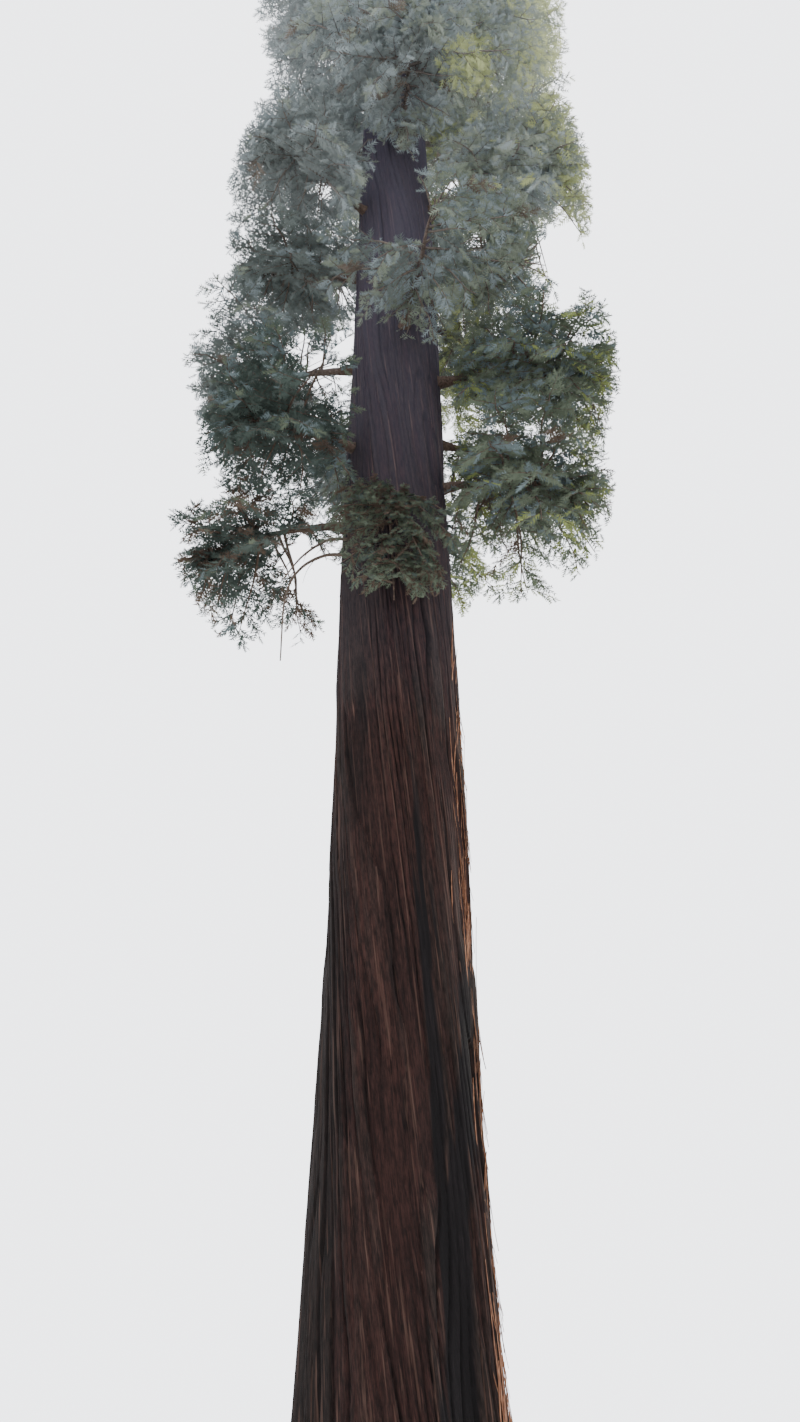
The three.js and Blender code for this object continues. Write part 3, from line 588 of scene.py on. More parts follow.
def grow_branches():
    """The branches, cut back to their masses' spaces. None hides the trunk in a window."""
    parts = [branches_of(mass) for mass in masses]
    roots, directions, sag, owners = (np.concatenate(part) for part in zip(*parts))
    reach = edge_distance(roots, directions, owners) * random.uniform(0.74, 1.02, len(roots))
    leader_reach = mix(LEADER_HALF_WIDTH, 0.25, (roots[:, 2] - TRUNK_TOP) / (TREE_HEIGHT - TRUNK_TOP))
    reach = np.where(owners == MASSES, np.minimum(reach, leader_reach), reach)
    reach = fitted(roots, directions, reach, sag, owners)
    curves = wander(arc(roots, directions, reach, sag, 6), 0.05)
    branches = SimpleNamespace(roots=roots, owners=owners, lengths=reach, curves=curves)
    outer = curves[:, 2:].swapaxes(0, 1)
    hides = [(places[:, 1] < 0) & in_openings(places, TRUNK_WINDOWS) for places in outer]
    return kept(branches, (reach > LEAST_BRANCH) & ~np.any(hides, axis=0))


def grow_twigs(branches):
    """The twigs, which are shorter towards the end of their branch."""
    lengths = branches.lengths

    def wanted(share, parent):
        reach = np.clip(lengths[parent], 0.5, 1.5) * mix(0.52, 0.24, share)
        return reach * (1 + jitter(len(parent), 0.25))

    spacing = TWIG_SPACING * spray_length(branches)
    twigs = offshoots(
        branches.curves, lengths, branches.owners, spacing, TWIG_SPREAD, TWIG_RISE, wanted, TWIG_SAG,
    )
    twigs = kept(twigs, twigs.lengths > LEAST_SHOOT)
    twigs.curves = arc(twigs.roots, twigs.directions, twigs.lengths, np.full(len(twigs.roots), TWIG_SAG), 1)
    return twigs


def grow_sprays(twigs):
    """The sprays. Those of one twig share a mood, and the dark inside of a closed mass has none."""
    size = spray_length(twigs)

    def wanted(share, parent):
        return size[parent] * mix(1.1, 0.8, share) * (1 + jitter(len(parent), 0.12))

    spacing = SPRAY_SPACING * size
    sprays = offshoots(
        twigs.curves, twigs.lengths, twigs.owners, spacing, SPRAY_SPREAD, SPRAY_RISE, wanted, SPRAY_SAG,
    )
    sprays.mood = random.random(len(twigs.roots))[sprays.parent]
    sprays.depth = depths(sprays.roots)[np.arange(len(sprays.roots)), sprays.owners]
    closed = np.array([mass.closed for mass in masses])[sprays.owners]
    lit = sprays.depth > closed * random.uniform(0.2, 0.58, len(closed))
    return kept(sprays, (sprays.lengths > LEAST_SHOOT) & lit)


def grow_crown():
    """Every branch, twig and spray of the crown."""
    branches = grow_branches()
    twigs = grow_twigs(branches)
    sprays = grow_sprays(twigs)
    leafy = np.isin(np.arange(len(twigs.roots)), sprays.parent)
    return bare_ends_off(branches, kept(twigs, leafy)), bare_ends_off(twigs, sprays), sprays


# Meshes
def mesh_of(name, points, faces):
    mesh = bpy.data.meshes.new(name)
    mesh.from_pydata(points.tolist(), [], faces)
    mesh.update()
    return mesh


def tubes(rings):
    """The points and faces of closed tubes, from rings of points: (tubes, rings, sides, 3)."""
    count, rows, sides = rings.shape[:3]
    index = np.arange(count * rows * sides).reshape(count, rows, sides)
    low, high = index[:, :-1], index[:, 1:]
    quads = np.stack([low, np.roll(low, -1, 2), np.roll(high, -1, 2), high], -1).reshape(-1, 4).tolist()
    ends = index[:, -1].tolist() + index[:, 0, ::-1].tolist()
    return rings.reshape(-1, 3), quads + ends


def rings_along(curves, radii, sides, relief=0.0):
    """Rings round curves. relief makes them uneven, as a share of the radius."""
    forward = unit(np.gradient(curves, axis=1))
    side = np.broadcast_to(side_of(curves[:, -1] - curves[:, 0])[:, None], forward.shape)
    lift = np.cross(side, forward)
    side = np.cross(forward, lift)
    turn = np.arange(sides) / sides * TURN
    circle = side[:, :, None] * np.cos(turn)[:, None] - lift[:, :, None] * np.sin(turn)[:, None]
    uneven = 1 + relief * random.uniform(-1, 1, (len(curves), curves.shape[1], sides))
    return curves[:, :, None] + circle * (radii[:, :, None] * uneven)[..., None]


def finish_piece(name, mesh, material, nodes, shade_smooth=True):
    mesh.materials.clear()
    mesh.materials.append(material)
    if shade_smooth:
        mesh.shade_smooth()
        keep_ends_flat(mesh)
    else:
        mesh.shade_flat()
    piece = bpy.data.objects.new(name, mesh)
    bpy.context.scene.collection.objects.link(piece)
    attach(piece, "root")
    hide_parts(*nodes)
    return piece


def keep_ends_flat(mesh):
    """Keeps the flat ends of wide tubes out of the smooth shading round them."""
    corners = np.zeros(len(mesh.polygons), np.int32)
    mesh.polygons.foreach_get("loop_total", corners)
    wide = corners > 4
    if not wide.any():
        return
    edges = np.zeros(len(mesh.loops), np.int32)
    mesh.loops.foreach_get("edge_index", edges)
    sharp = np.zeros(len(mesh.edges), bool)
    sharp[edges[np.repeat(wide, corners)]] = True
    mesh.edges.foreach_set("use_edge_sharp", sharp)


def give_attribute(mesh, name, values):
    kind = "FLOAT_VECTOR" if values.ndim == 2 else "INT" if values.dtype.kind == "i" else "FLOAT"
    attribute = mesh.attributes.new(name, kind, "POINT")
    attribute.data.foreach_set("vector" if values.ndim == 2 else "value", values.ravel())


# Bark relief. The grain angle is the bearing with the twist taken out, so a strip keeps one grain angle.
def bark_noise(grain, height, cells, length, seed):
    """Smooth random values from 0 to 1, with so many cells around, each so long, and no seam."""
    table = np.random.default_rng(seed).random((int(TREE_HEIGHT / length) + 3, cells))
    u, v = grain / TURN * cells, height / length
    i, j = np.floor(u).astype(int), np.floor(v).astype(int)
    s, t = smooth(u - i), smooth(v - j)
    low = mix(table[j, i % cells], table[j, (i + 1) % cells], s)
    high = mix(table[j + 1, i % cells], table[j + 1, (i + 1) % cells], s)
    return mix(low, high, t)


def bark_strips(grain, height, count, length, wobble, seed):
    """Strips of bark: from 0 in the furrow beside a strip to 1 on its back, and the strip's own value, which
    changes abruptly where one strip ends and the next begins. wobble is in widths of a strip."""
    sway = 1.5 * (bark_noise(grain, height, count // 4, 2.1, seed) - 0.5)
    sway += 4.5 * (bark_noise(grain, height, 9, 4.3, seed + 2) - 0.5)
    sway += wobble * (bark_noise(grain, height, count // 2, 0.55, seed + 3) - 0.5)
    place = grain / TURN * count + sway
    strip = np.floor(place).astype(int) % count
    across = place - np.floor(place)
    back = smooth(across / 0.24) * smooth((1 - across) / 0.16)
    dice = np.random.default_rng(seed + 1)
    values = dice.random((int(TREE_HEIGHT / length) + 4, count))
    along = height / length + dice.random(count)[strip]
    k = np.floor(along).astype(int)
    step = smooth((along - k - 0.4) / 0.2)
    return back, mix(values[k, strip], values[k + 1, strip], step)


def dark_band_mask(bearing, height):
    """Where the bark turns nearly black: 1 in a broad band beside the groove and in a narrow one down it,
    ragged at their edges.
    """
    grain = np.radians(bearing + TWIST_PER_METRE * height) % TURN
    ragged = 12 * (bark_noise(grain, height, 120, 1.1, 77) - 0.5)
    ragged += 7 * (bark_noise(grain, height, 50, 2.6, 78) - 0.5)
    off_band = np.abs(angle_between(bearing, DARK_BAND_BEARING + DARK_BAND_BEND * height**2))
    broad = smooth((DARK_BAND_HALF_WIDTH - height - off_band + ragged) / 5) * smooth((DARK_BAND_HEIGHT - height) / 1.6)
    crack = np.abs(angle_between(bearing, GROOVE_BEARING + GROOVE_DRIFT * height + 1))
    narrow = smooth((GROOVE_BAND_HALF_WIDTH - crack + ragged) / 4) * smooth((GROOVE_BAND_HEIGHT - height) / 1.5)
    narrow *= smooth((height - 1.5) / 2)
    return np.maximum(broad, narrow)


def rim_mask(bearing, height):
    """Where the bark hangs ragged beside the nearly black band."""
    return band(bearing, RIM_BEARING, 24) * smooth((10.5 - height) / 3)


def band(bearing, middle, half_width):
    return smooth(1.6 - 1.6 * np.abs(angle_between(bearing, middle)) / half_width)


def bark_surface(grain, height):
    """The bark's distance from the axis; its tone, darkened in the furrows as painted shade and varied by each
    strip's own tone and by the old bark; how weathered it is; and where it turns nearly black beside the
    groove.
    """
    bearing = np.degrees(grain) - TWIST_PER_METRE * height
    back, stand = bark_strips(grain, height, BROAD_STRIPS, BROAD_LENGTH, 0.4, 11)
    fine_back, fine_stand = bark_strips(grain, height, FINE_STRIPS, FINE_LENGTH, 1.1, 23)
    open_furrow = mix(-0.2, 1.2, bark_noise(grain, height, 40, 1.3, 5)).clip(0, 1)
    open_crack = mix(-0.4, 1.2, bark_noise(grain, height, 70, 0.8, 6)).clip(0, 1)
    char = dark_band_mask(bearing, height)
    ragged = 1 + 0.9 * rim_mask(bearing, height) - 0.45 * char
    thick = np.clip(bole_radius(height) / 0.8, 0.1, 1.2)
    relief = BROAD_DEPTH * open_furrow * (back - 0.6) + STRIP_STAND * (stand - 0.5)
    relief += FINE_DEPTH * (open_crack * (fine_back - 0.6) + 0.6 * (fine_stand - 0.5))
    relief += 0.012 * (bark_noise(grain, height, 24, 0.9, 31) - 0.5)
    # Painted shade: the tone darkens towards the bottoms of the broad furrows and the fine cracks. Each strip's
    # own tone and the old bark vary it further.
    furrow = mix(0.54, 1, mix(1, back, open_furrow)) * mix(0.8, 1, mix(1, fine_back, open_crack))
    old = 1 - 0.22 * band(bearing, OLD_BEARING, 40) * smooth((9 - height) / 4)
    furrow *= mix(0.62, 0.88, mix(stand, fine_stand, 0.25)) * old
    tint = 0.65 * stand + 0.35 * fine_stand + 0.35 * band(bearing, OLD_BEARING, 34) * smooth((8 - height) / 3)
    tint -= 0.3 * band(bearing, RED_BEARING, 34) * smooth((11 - height) / 4)
    return trunk_radius(bearing, height) + relief * ragged * thick, furrow, tint, char


def make_trunk(material):
    grain = np.arange(BARK_COLUMNS) / BARK_COLUMNS * TURN
    for number, (bottom, top, rows) in enumerate(BARK_SPANS, 1):
        height = np.linspace(bottom, top, rows + 1)[:, None] + 0 * grain
        around = grain + 0 * height
        radius, furrow, tint, char = bark_surface(around, height)
        turn = around - np.radians(TWIST_PER_METRE * height)
        rings = axis_at(height) + radius[..., None] * level_round(turn)
        points, faces = tubes(rings[None])
        mesh = mesh_of(f"trunk_bark_{number}", points, faces)
        straight = np.stack([np.cos(around) * radius, np.sin(around) * radius, height], -1)
        give_attribute(mesh, "grain place", straight.reshape(-1, 3))
        for name, values in {"furrow": furrow, "tint": tint, "char": char}.items():
            give_attribute(mesh, name, values.ravel())
        finish_piece(mesh.name, mesh, material, ["trunk"])


# Limbs
def make_limb_piece(name, curves, radii, sides, material, nodes, relief):
    points, faces = tubes(rings_along(curves, radii, sides, relief))
    return finish_piece(name, mesh_of(name, points, faces), material, nodes)


def make_boughs(material):
    """The boughs, each with a swollen collar where it leaves the trunk."""
    carried = [mass for mass in masses if mass.has_bough]
    t = np.linspace(0, 1, 25)
    curves = bezier(np.array([mass.bough for mass in carried]), t)
    collar = 1 + 0.9 * np.exp(-t / 0.22)
    radii = np.array([mass.radius * mix(1, STEM_SHARE, t) * collar for mass in carried])
    nodes = [f"bough_{mass.index + 1:02d}" for mass in carried]
    make_limb_piece("boughs", curves, radii, 18, material, nodes, 0.07)


def make_stems(barks):
    """The stem of each mass, which thins from the bough's end to a twig. The veil's is slender all along."""
    t = np.linspace(0, 1, 21)
    curves = wander(bezier(np.array([mass.stem for mass in masses]), t), 0.02)
    shares = [(0.4, 0.25) if mass.veil else (STEM_SHARE, 0.12) for mass in masses]
    radii = np.array([mass.radius * root * mix(1, end, t) for mass, (root, end) in zip(masses, shares)])
    for (tier, (first, last)), bark in zip(TIERS.items(), barks):
        some = slice(first, last)
        nodes = foliage_nodes(first, last)
        make_limb_piece(f"stems_{tier}", curves[some], radii[some], 10, bark, nodes, 0.06)


def make_bare_limbs(material):
    for name, curve in bare_curves.items():
        t = np.linspace(0, 1, len(curve))
        radii = mix(BARE_RADIUS, BARE_TIP_RADIUS, t)[None]
        shaft = rings_along(curve[None], radii, 12, 0.08)
        roots = curve[8:-2:3]
        count = len(roots)
        forward = unit(curve[9:-1:3] - roots)
        hand = np.where(np.arange(count) % 2, 1, -1)[:, None]
        aim = unit(forward + side_of(forward) * hand * 0.9 - UP * 0.25)
        lengths = random.uniform(*BARE_TWIG_LENGTH, count)
        twigs = wander(arc(roots, aim, lengths, np.full(count, 0.35), 5), 0.08)
        thin = np.broadcast_to(mix(BARE_TWIG_RADIUS, BARE_TWIG_TIP, np.linspace(0, 1, 6)), (count, 6))
        points, faces = tubes(shaft)
        more_points, more_faces = tubes(rings_along(twigs, thin, 4))
        faces += [[k + len(points) for k in face] for face in more_faces]
        mesh = mesh_of(name + "_wood", np.vstack([points, more_points]), faces)
        finish_piece(mesh.name, mesh, material, [name])


def foliage_nodes(first, last):
    names = [f"foliage_{index + 1:02d}" for index in range(first, min(last, MASSES))]
    return names + (["foliage_leader"] if last > MASSES else [])


def make_twigs(kind, growth, sizes, barks):
    """The branches or the twigs, thicker the longer they are."""
    least, more, end = sizes
    for (tier, (first, last)), bark in zip(TIERS.items(), barks):
        some = kept(growth, (growth.owners >= first) & (growth.owners < last))
        radii = (least + more * some.lengths)[:, None] * mix(1, end, np.linspace(0, 1, some.curves.shape[1]))
        make_limb_piece(f"{kind}_{tier}", some.curves, radii, 3, bark, foliage_nodes(first, last), 0)


# Node trees
def paint(hex_colour):
    """An sRGB hex colour as linear red, green, blue and alpha."""
    values = [int(hex_colour[k : k + 2], 16) / 255 for k in (1, 3, 5)]
    return [v / 12.92 if v <= 0.04045 else ((v + 0.055) / 1.055) ** 2.4 for v in values] + [1]


def add(tree, kind, inputs=None, stops=(), **settings):
    """Adds a node. inputs gives a socket, by name or number, its value or the output that feeds it, and stops
    gives a colour ramp its places and hex colours, in their order."""
    node = tree.nodes.new(kind)
    for name, value in settings.items():
        setattr(node, name, value)
    for socket, value in (inputs or {}).items():
        if isinstance(value, bpy.types.NodeSocket):
            tree.links.new(value, node.inputs[socket])
        else:
            node.inputs[socket].default_value = value
    for number, (place, colour) in enumerate(stops):
        elements = node.color_ramp.elements
        element = elements[number] if number < 2 else elements.new(1)
        element.position = place
        element.color = paint(colour)
    return node


# Shapes that repeat, set out by Geometry Nodes
def copies_tree():
    """Sets a shape out on every point, turned by the point's direction and face and sized by its size."""
    tree = bpy.data.node_groups.new("set out copies", "GeometryNodeTree")
    sockets = [
        ("Points", "Geometry"), ("Shapes", "Collection"), ("Unevenness", "Float"), ("Seed", "Int"),
        ("Finish", "Material"),
    ]
    for name, kind in sockets:
        tree.interface.new_socket(name, in_out="INPUT", socket_type="NodeSocket" + kind)
    tree.interface.new_socket("Copies", in_out="OUTPUT", socket_type="NodeSocketGeometry")
    given = add(tree, "NodeGroupInput").outputs
    read = {}
    for name in ("direction", "face", "size", "shape"):
        kind = "INT" if name == "shape" else "FLOAT_VECTOR"
        attribute = add(tree, "GeometryNodeInputNamedAttribute", {"Name": name}, data_type=kind)
        read[name] = attribute.outputs["Attribute"]
    axes = {"Primary Axis": read["direction"], "Secondary Axis": read["face"]}
    turn = add(tree, "FunctionNodeAxesToRotation", axes, primary_axis="Y", secondary_axis="Z")
    least = add(tree, "ShaderNodeMath", {0: 1.0, 1: given["Unevenness"]}, operation="SUBTRACT").outputs[0]
    most = add(tree, "ShaderNodeMath", {0: 1.0, 1: given["Unevenness"]}, operation="ADD").outputs[0]
    spread = {"Min": least, "Max": most, "Seed": given["Seed"]}
    dice = add(tree, "FunctionNodeRandomValue", spread, data_type="FLOAT").outputs["Value"]
    sized = add(tree, "ShaderNodeVectorMath", {0: read["size"], "Scale": dice}, operation="SCALE")
    shapes = add(tree, "GeometryNodeCollectionInfo", {
        "Collection": given["Shapes"], "Separate Children": True, "Reset Children": True,
    })
    copies = add(tree, "GeometryNodeInstanceOnPoints", {
        "Points": given["Points"], "Instance": shapes.outputs[0], "Pick Instance": True,
        "Instance Index": read["shape"], "Rotation": turn.outputs[0], "Scale": sized.outputs[0],
    })
    real = add(tree, "GeometryNodeRealizeInstances", {"Geometry": copies.outputs[0]})
    done = add(tree, "GeometryNodeSetMaterial", {"Geometry": real.outputs[0], "Material": given["Finish"]})
    add(tree, "NodeGroupOutput", {"Copies": done.outputs[0]})
    return tree


def set_out(name, tree, shapes, points, attributes, unevenness, material):
    """The plain mesh of shapes set out on points."""
    field = bpy.data.objects.new(name + "_points", mesh_of(name + "_points", points, []))
    for attribute, values in attributes.items():
        give_attribute(field.data, attribute, values)
    bpy.context.scene.collection.objects.link(field)
    modifier = field.modifiers.new("copies", "NODES")
    modifier.node_group = tree
    chosen = {"Shapes": shapes, "Unevenness": unevenness, "Seed": SEED, "Finish": material}
    for item in tree.interface.items_tree:
        if item.item_type == "SOCKET" and item.name in chosen:
            modifier[item.identifier] = chosen[item.name]
    whole = field.evaluated_get(bpy.context.evaluated_depsgraph_get())
    mesh = bpy.data.meshes.new_from_object(whole)
    mesh.name = name
    bpy.data.objects.remove(field)
    for left in [attribute.name for attribute in mesh.attributes if attribute.name in attributes]:
        mesh.attributes.remove(mesh.attributes[left])
    return mesh


def shape_collection(name, meshes):
    """Shapes to copy, in an order that their names keep."""
    collection = bpy.data.collections.new(name)
    for number, mesh in enumerate(meshes):
        collection.objects.link(bpy.data.objects.new(f"{name}_{number}", mesh))
    return collection


def spray_mesh(name, pairs, opening, breadth):
    """A spray of length 1 along Y: a thin twig and, in pairs, the slender shoots on it, set close with
    needles. Each shoot droops by its own amount."""
    points, faces = [], []

    def shoot(root, angle, length):
        forward = np.array([math.sin(angle), math.cos(angle)])
        across = np.array([forward[1], -forward[0]]) * breadth / 2
        tip = root + forward * length
        for (x, y), droop in ((root - across, 0), (root + across, 0), (tip, random.uniform(-0.06, 0.14))):
            points.append((x, y, -SPRAY_DROOP * y * y - SPRAY_FOLD * x * x - droop))
        faces.append((len(points) - 3, len(points) - 2, len(points) - 1))

    shoot(np.array([0, 0]), 0, 1)
    for pair in range(pairs):
        share = pair / (pairs - 1)
        for hand in (1, -1):
            root = np.array([0, mix(0.05, 0.74, share) + 0.03 * hand])
            length = mix(0.5, 0.28, share) * random.uniform(0.8, 1.15)
            shoot(root, math.radians(hand * opening * random.uniform(0.8, 1.2)), length)
    return mesh_of(name, np.array(points), faces)


def peeling_mesh(name, curl):
    """A sliver of bark of length 1 along Y and width 1, rooted at its start and curling off towards +Z."""
    steps = 6
    points, faces = [], []
    for k in range(steps + 1):
        y = k / steps
        width = 0.5 * (1 - y**3) + 0.06
        lift = curl * y**2
        for side, rise in PEELING_SECTION:
            points.append((side * width + 0.3 * math.sin(3 * y), y, lift + rise))
    for k in range(steps):
        for side in range(4):
            a, b = 4 * k + side, 4 * k + (side + 1) % 4
            faces.append((a, a + 4, b + 4, b))
    faces += [(0, 1, 2, 3), tuple(4 * steps + side for side in (3, 2, 1, 0))]
    return mesh_of(name, np.array(points), faces)


def deal_colours(sprays):
    """Which kind of needles each spray has. They are dark green as painted shade inside the masses, more so on
    the viewer's left, away from the sun. Outside they are green, or blue from the needles' pale bloom and, more
    so higher up, as painted haze. They are bright as painted sunlight on the sunny side and in the sunlit
    openings, and a few are dead and brown. The veil mixes the dark green, green and brown at random."""
    outward = unit(sprays.roots * (1, 1, 0))
    haze_aloft = smooth((sprays.roots[:, 2] - HAZE_FROM) / HAZE_HEIGHT)
    depth = sprays.depth
    dice = 0.55 * sprays.mood + 0.45 * random.random(len(depth))
    colours = np.full(len(depth), GREEN)
    # More blue higher up: painted haze.
    colours[dice > mix(*BLUE_OVER, haze_aloft)] = BLUE
    # Painted shade: dark needles inside the masses and on the viewer's left, away from the sun.
    colours[depth + 0.5 * dice + 0.45 * outward[:, 0] < SHADED_UNDER] = SHADED
    # Painted sunlight: bright needles on the sunny side, higher up, and in the sunlit openings.
    sunny = 0.6 * (outward @ SUNNY_SIDE) + 0.25 * haze_aloft + 1.3 * (dice - 0.5)
    colours[(depth > 0.55) & (sunny > PAINTED_SUN_OVER)] = PAINTED_SUN
    colours[in_openings(sprays.roots, SUNLIT) & (dice > 0.35)] = PAINTED_SUN
    colours[(sprays.mood < 0.02) | ((sprays.owners == 1) & (sprays.mood > 0.75) & (dice > 0.6))] = BROWN
    veil = sprays.owners == 0
    colours[veil] = np.select([dice < 0.3, dice < 0.68], [SHADED, GREEN], BROWN)[veil]
    return colours


def make_sprays(sprays, tree):
    colours = deal_colours(sprays)
    sides = side_of(sprays.directions)
    face = unit(np.cross(sides, sprays.directions) + random.normal(0, 0.35, sides.shape))
    size = sprays.lengths[:, None] * np.ones(3)
    kind = random.integers(0, len(SPRAY_SHAPES), len(colours)).astype(np.int32)
    for (tier, (first, last)), share in zip(TIERS.items(), np.linspace(0, 1, len(TIERS))):
        breadth = mix(*SHOOT_BREADTH, share)
        shapes = shape_collection(f"spray_{tier}", [
            spray_mesh(f"spray_{tier}_{number}", pairs, opening, breadth)
            for number, (pairs, opening) in enumerate(SPRAY_SHAPES)
        ])
        for colour, (word, (low, high)) in enumerate(NEEDLES.items()):
            material = needle(f"{tier} {word} needles", low, high, share)
            pick = (colours == colour) & (sprays.owners >= first) & (sprays.owners < last)
            attributes = {"direction": sprays.directions, "face": face, "size": size, "shape": kind}
            attributes = {name: values[pick] for name, values in attributes.items()}
            name = f"sprays_{tier}_{word}"
            mesh = set_out(name, tree, shapes, sprays.roots[pick], attributes, 0.15, material)
            finish_piece(name, mesh, material, foliage_nodes(first, last), False)


def make_peelings(tree, material):
    """Slivers of bark that stand off the ragged rim beside the nearly black band, most of them hanging."""
    slivers = [peeling_mesh(f"peeling_{number}", curl) for number, curl in enumerate(PEELING_CURLS)]
    shapes = shape_collection("peeling", slivers)
    bearing = RIM_BEARING + random.normal(0, PEELING_SPREAD, PEELINGS)
    height = random.uniform(*PEELING_HEIGHTS, PEELINGS)
    radius = bark_surface(np.radians(bearing + TWIST_PER_METRE * height) % TURN, height)[0]
    slope = (trunk_radius(bearing, height + 0.2) - trunk_radius(bearing, height)) / 0.2
    outward = level_round(np.radians(bearing))
    roots = axis_at(height) + outward * (radius - PEELING_SINK)[:, None]
    hang = np.where((random.random(PEELINGS) < HANGING_SHARE) & (height > 1.5), -1, 1)
    twist = math.radians(TWIST_PER_METRE) * radius
    along = unit(UP + outward * slope[:, None] - np.cross(UP, outward) * twist[:, None]) * hang[:, None]
    spans = (PEELING_WIDTH, PEELING_LENGTH, PEELING_THICKNESS)
    size = np.stack([random.uniform(*span, PEELINGS) for span in spans], -1)
    kind = random.integers(0, len(slivers), PEELINGS).astype(np.int32)
    attributes = {"direction": along, "face": outward, "size": size, "shape": kind}
    mesh = set_out("peeling_bark", tree, shapes, roots, attributes, 0.2, material)
    finish_piece("peeling_bark", mesh, material, ["trunk"])


# Finishes
def new_material(name):
    material = bpy.data.materials.new(name)
    material.use_nodes = True
    tree = material.node_tree
    tree.nodes.clear()
    shader = add(tree, "ShaderNodeBsdfPrincipled")
    add(tree, "ShaderNodeOutputMaterial", {"Surface": shader.outputs[0]})
    return material, tree, shader


def redwood_bark():
    """Living redwood bark, weathered: soft stringy fibres in long strips, cinnamon red where they are fresh,
    grey-brown where they are old, darkened nearly to black in the furrows as painted shade, nearly black in a
    ragged band beside the groove, and greyer and bluer high up as painted haze."""
    material, tree, shader = new_material("redwood bark")
    read = {}
    for name in ("furrow", "tint", "char", "grain place"):
        read[name] = add(tree, "ShaderNodeAttribute", attribute_name=name).outputs
    furrow, place = read["furrow"]["Fac"], read["grain place"]["Vector"]
    pattern = {}
    for name, (across, along, detail, roughness) in BARK_PATTERNS.items():
        scaled = add(tree, "ShaderNodeMapping", {"Vector": place, "Scale": (across, across, along)})
        sockets = {"Vector": scaled.outputs[0], "Scale": 1, "Detail": detail, "Roughness": roughness}
        pattern[name] = add(tree, "ShaderNodeTexNoise", sockets).outputs["Fac"]
    # The red and the grey bark run from painted shade at the bottom of a furrow to the back of a strip.
    red = add(tree, "ShaderNodeValToRGB", {"Fac": furrow}, RED_BARK).outputs[0]
    grey = add(tree, "ShaderNodeValToRGB", {"Fac": furrow}, GREY_BARK).outputs[0]
    fibres = add(tree, "ShaderNodeValToRGB", {"Fac": pattern["fibres"]}, FIBRE_TONES).outputs[0]
    flakes = add(tree, "ShaderNodeValToRGB", {"Fac": pattern["flakes"]}, FLAKE_TONES).outputs[0]
    old = add(tree, "ShaderNodeMath", {0: read["tint"]["Fac"], 1: pattern["patches"]}, operation="ADD")
    old = add(tree, "ShaderNodeMapRange", {"Value": old.outputs[0], "From Min": 0.72, "From Max": 1.25})
    streaks = {"Value": pattern["streaks"], "From Min": 0.58, "From Max": 0.76, "To Max": 0.6}
    pale = add(tree, "ShaderNodeMapRange", streaks)
    pale = add(tree, "ShaderNodeMath", {0: pale.outputs[0], 1: furrow}, operation="MULTIPLY")
    height = add(tree, "ShaderNodeSeparateXYZ", {0: place}).outputs["Z"]
    # Painted haze: the bark turns greyer and bluer from 8 m to 20 m up.
    haze_aloft = add(tree, "ShaderNodeMapRange", {"Value": height, "From Min": 8, "From Max": 20, "To Max": 0.65})
    # The nearly black band is darkest where the furrows' painted shade and the fibres are darkest.
    shade_and_fibres = add(tree, "ShaderNodeMath", {0: furrow, 1: pattern["fibres"]}, operation="MULTIPLY")
    shade_and_fibres = add(tree, "ShaderNodeMath", {0: shade_and_fibres.outputs[0], 1: 1.6}, operation="MULTIPLY")
    char = add(tree, "ShaderNodeValToRGB", {"Fac": shade_and_fibres.outputs[0]}, DARK_BAND_TONES).outputs[0]
    colour = red
    for share, over, blend in (
        (old.outputs[0], grey, "MIX"), (1.0, fibres, "MULTIPLY"), (1.0, flakes, "MULTIPLY"),
        (pale.outputs[0], paint(PALE_FIBRES), "MIX"), (haze_aloft.outputs[0], paint(HAZE_PAINTED_BARK), "MIX"),
        (read["char"]["Fac"], char, "MIX"),
    ):
        sockets = {0: share, COLOUR_A: colour, COLOUR_B: over}
        colour = add(tree, "ShaderNodeMix", sockets, data_type="RGBA", blend_type=blend).outputs[COLOUR_OUT]
    bump = add(tree, "ShaderNodeBump", {"Height": pattern["fibres"], "Strength": 0.9, "Distance": 0.012})
    tree.links.new(colour, shader.inputs["Base Color"])
    tree.links.new(bump.outputs[0], shader.inputs["Normal"])
    shader.inputs["Roughness"].default_value = 0.92
    shader.inputs["Specular IOR Level"].default_value = 0.25
    return material


def peeling_bark():
    """The inner side of redwood bark, torn and fresh: bright cinnamon fibres."""
    material, tree, shader = new_material("torn redwood bark")
    place = add(tree, "ShaderNodeTexCoord").outputs["Object"]
    place = add(tree, "ShaderNodeMapping", {"Vector": place, "Scale": (120, 120, 6)}).outputs[0]
    fibres = add(tree, "ShaderNodeTexNoise", {"Vector": place, "Scale": 1, "Detail": 3})
    colour = add(tree, "ShaderNodeValToRGB", {"Fac": fibres.outputs["Fac"]}, TORN_BARK)
    tree.links.new(colour.outputs[0], shader.inputs["Base Color"])
    shader.inputs["Roughness"].default_value = 0.85
    return material


def between(low, high, share):
    """The hex colour that lies a share of the way from one to another."""
    pairs = zip(bytes.fromhex(low[1:]), bytes.fromhex(high[1:]))
    return "#" + bytes(round(mix(a, b, share)) for a, b in pairs).hex()


def tiered_wood(name, foot, top, grain):
    """The wood of each tier, from the tones at the crown's foot to the paler, greyer ones at its top, which are
    painted haze.
    """
    tones = [[between(*pair, share) for pair in zip(foot, top)] for share in np.linspace(0, 1, len(TIERS))]
    return [wood(f"{name}, {tier}", tone, grain) for tier, tone in zip(TIERS, tones)]


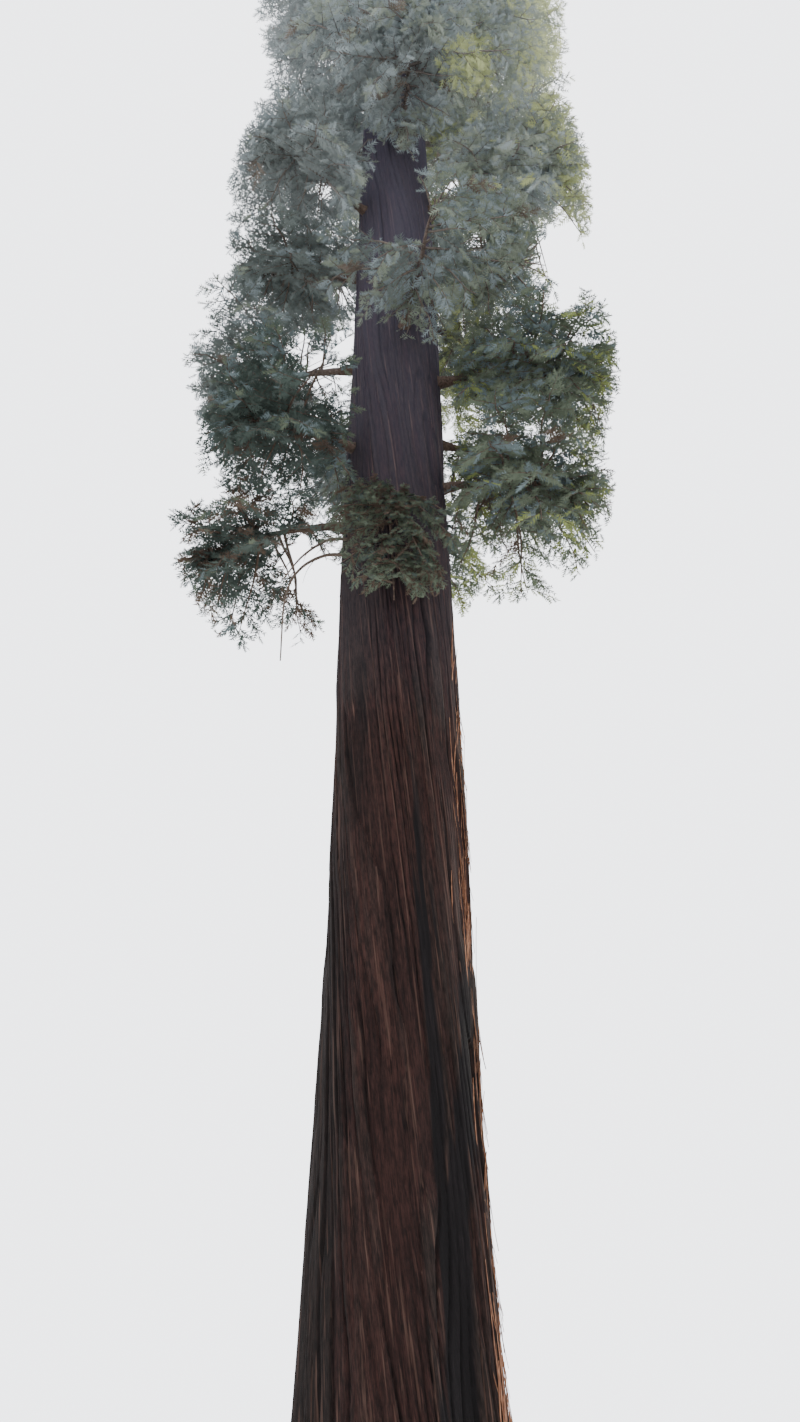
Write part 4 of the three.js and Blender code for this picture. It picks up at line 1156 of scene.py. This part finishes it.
def wood(name, tones, grain):
    """Thin bark or bare wood: two tones in streaks of the given size in metres, with a matching bump."""
    material, tree, shader = new_material(name)
    place = add(tree, "ShaderNodeTexCoord").outputs["Object"]
    sockets = {"Vector": place, "Scale": 1 / grain, "Detail": 5, "Roughness": 0.65}
    streaks = add(tree, "ShaderNodeTexNoise", sockets).outputs["Fac"]
    colour = add(tree, "ShaderNodeValToRGB", {"Fac": streaks}, list(zip((0.35, 0.65), tones)))
    tree.links.new(colour.outputs[0], shader.inputs["Base Color"])
    bump = add(tree, "ShaderNodeBump", {"Height": streaks, "Strength": 0.8, "Distance": 0.008})
    tree.links.new(bump.outputs[0], shader.inputs["Normal"])
    shader.inputs["Roughness"].default_value = 0.9
    return material


def needle(name, low, high, share):
    """Redwood needles: flat leaves with a dull waxy bloom, in one plain colour, paler towards the top as
    painted haze.
    """
    material, _, shader = new_material(name)
    shader.inputs["Base Color"].default_value = [mix(a, b, share) for a, b in zip(paint(low), paint(high))]
    shader.inputs["Roughness"].default_value = 0.7
    shader.inputs["Specular IOR Level"].default_value = 0.2
    return material


# The setting
def make_camera():
    data = bpy.data.cameras.new("viewer")
    data.sensor_width = SENSOR
    data.lens = FOCAL_PIXELS / IMAGE_HEIGHT * SENSOR
    data.clip_end = 500
    camera = bpy.data.objects.new("viewer", data)
    camera.location = CAMERA_PLACE
    camera.rotation_euler = (math.radians(90 + CAMERA_TILT), 0, 0)
    bpy.context.scene.collection.objects.link(camera)
    bpy.context.scene.camera = camera


def make_floor():
    rim = FLOOR_RADIUS * level_round(np.arange(FLOOR_SIDES) / FLOOR_SIDES * TURN) - FLOOR_DROP * UP
    floor = bpy.data.objects.new("floor", mesh_of("floor", rim, [list(range(FLOOR_SIDES))]))
    material, _, shader = new_material("pale floor")
    shader.inputs["Base Color"].default_value = paint(FLOOR_GREY)
    shader.inputs["Roughness"].default_value = 0.9
    floor.data.materials.append(material)
    bpy.context.scene.collection.objects.link(floor)


def make_light():
    world = bpy.data.worlds.new("studio")
    bpy.context.scene.world = world
    world.use_nodes = True
    tree = world.node_tree
    tree.nodes.clear()
    seen, light = (
        add(tree, "ShaderNodeBackground", {"Color": paint(colour), "Strength": strength}).outputs[0]
        for colour, strength in (SKY_SEEN, SKY_LIGHT)
    )
    direct = add(tree, "ShaderNodeLightPath").outputs["Is Camera Ray"]
    either = add(tree, "ShaderNodeMixShader", {0: direct, 1: light, 2: seen})
    add(tree, "ShaderNodeOutputWorld", {"Surface": either.outputs[0]})
    sun = bpy.data.lights.new("sun", "SUN")
    sun.energy = SUN_STRENGTH
    sun.angle = math.radians(SUN_BREADTH)
    sun.color = paint(SUN_COLOUR)[:3]
    lamp = bpy.data.objects.new("sun", sun)
    lamp.rotation_euler = [math.radians(turn) for turn in SUN_TURN]
    bpy.context.scene.collection.objects.link(lamp)


make_camera()
make_floor()
make_light()
copies = copies_tree()
make_trunk(redwood_bark())
make_peelings(copies, peeling_bark())
make_boughs(wood("bough bark", LIMB_BARK, 0.03))
make_stems(tiered_wood("stem bark", LIMB_BARK, HAZE_PAINTED_LIMB_BARK, 0.03))
make_bare_limbs(wood("weathered dead wood", DEAD_WOOD, 0.02))
crown_branches, crown_twigs, crown_sprays = grow_crown()
twig_barks = tiered_wood("twig bark", TWIG_BARK, HAZE_PAINTED_TWIG_BARK, 0.05)
make_twigs("branches", crown_branches, BRANCH_RADII, twig_barks)
make_twigs("twigs", crown_twigs, TWIG_RADII, twig_barks)
make_sprays(crown_sprays, copies)
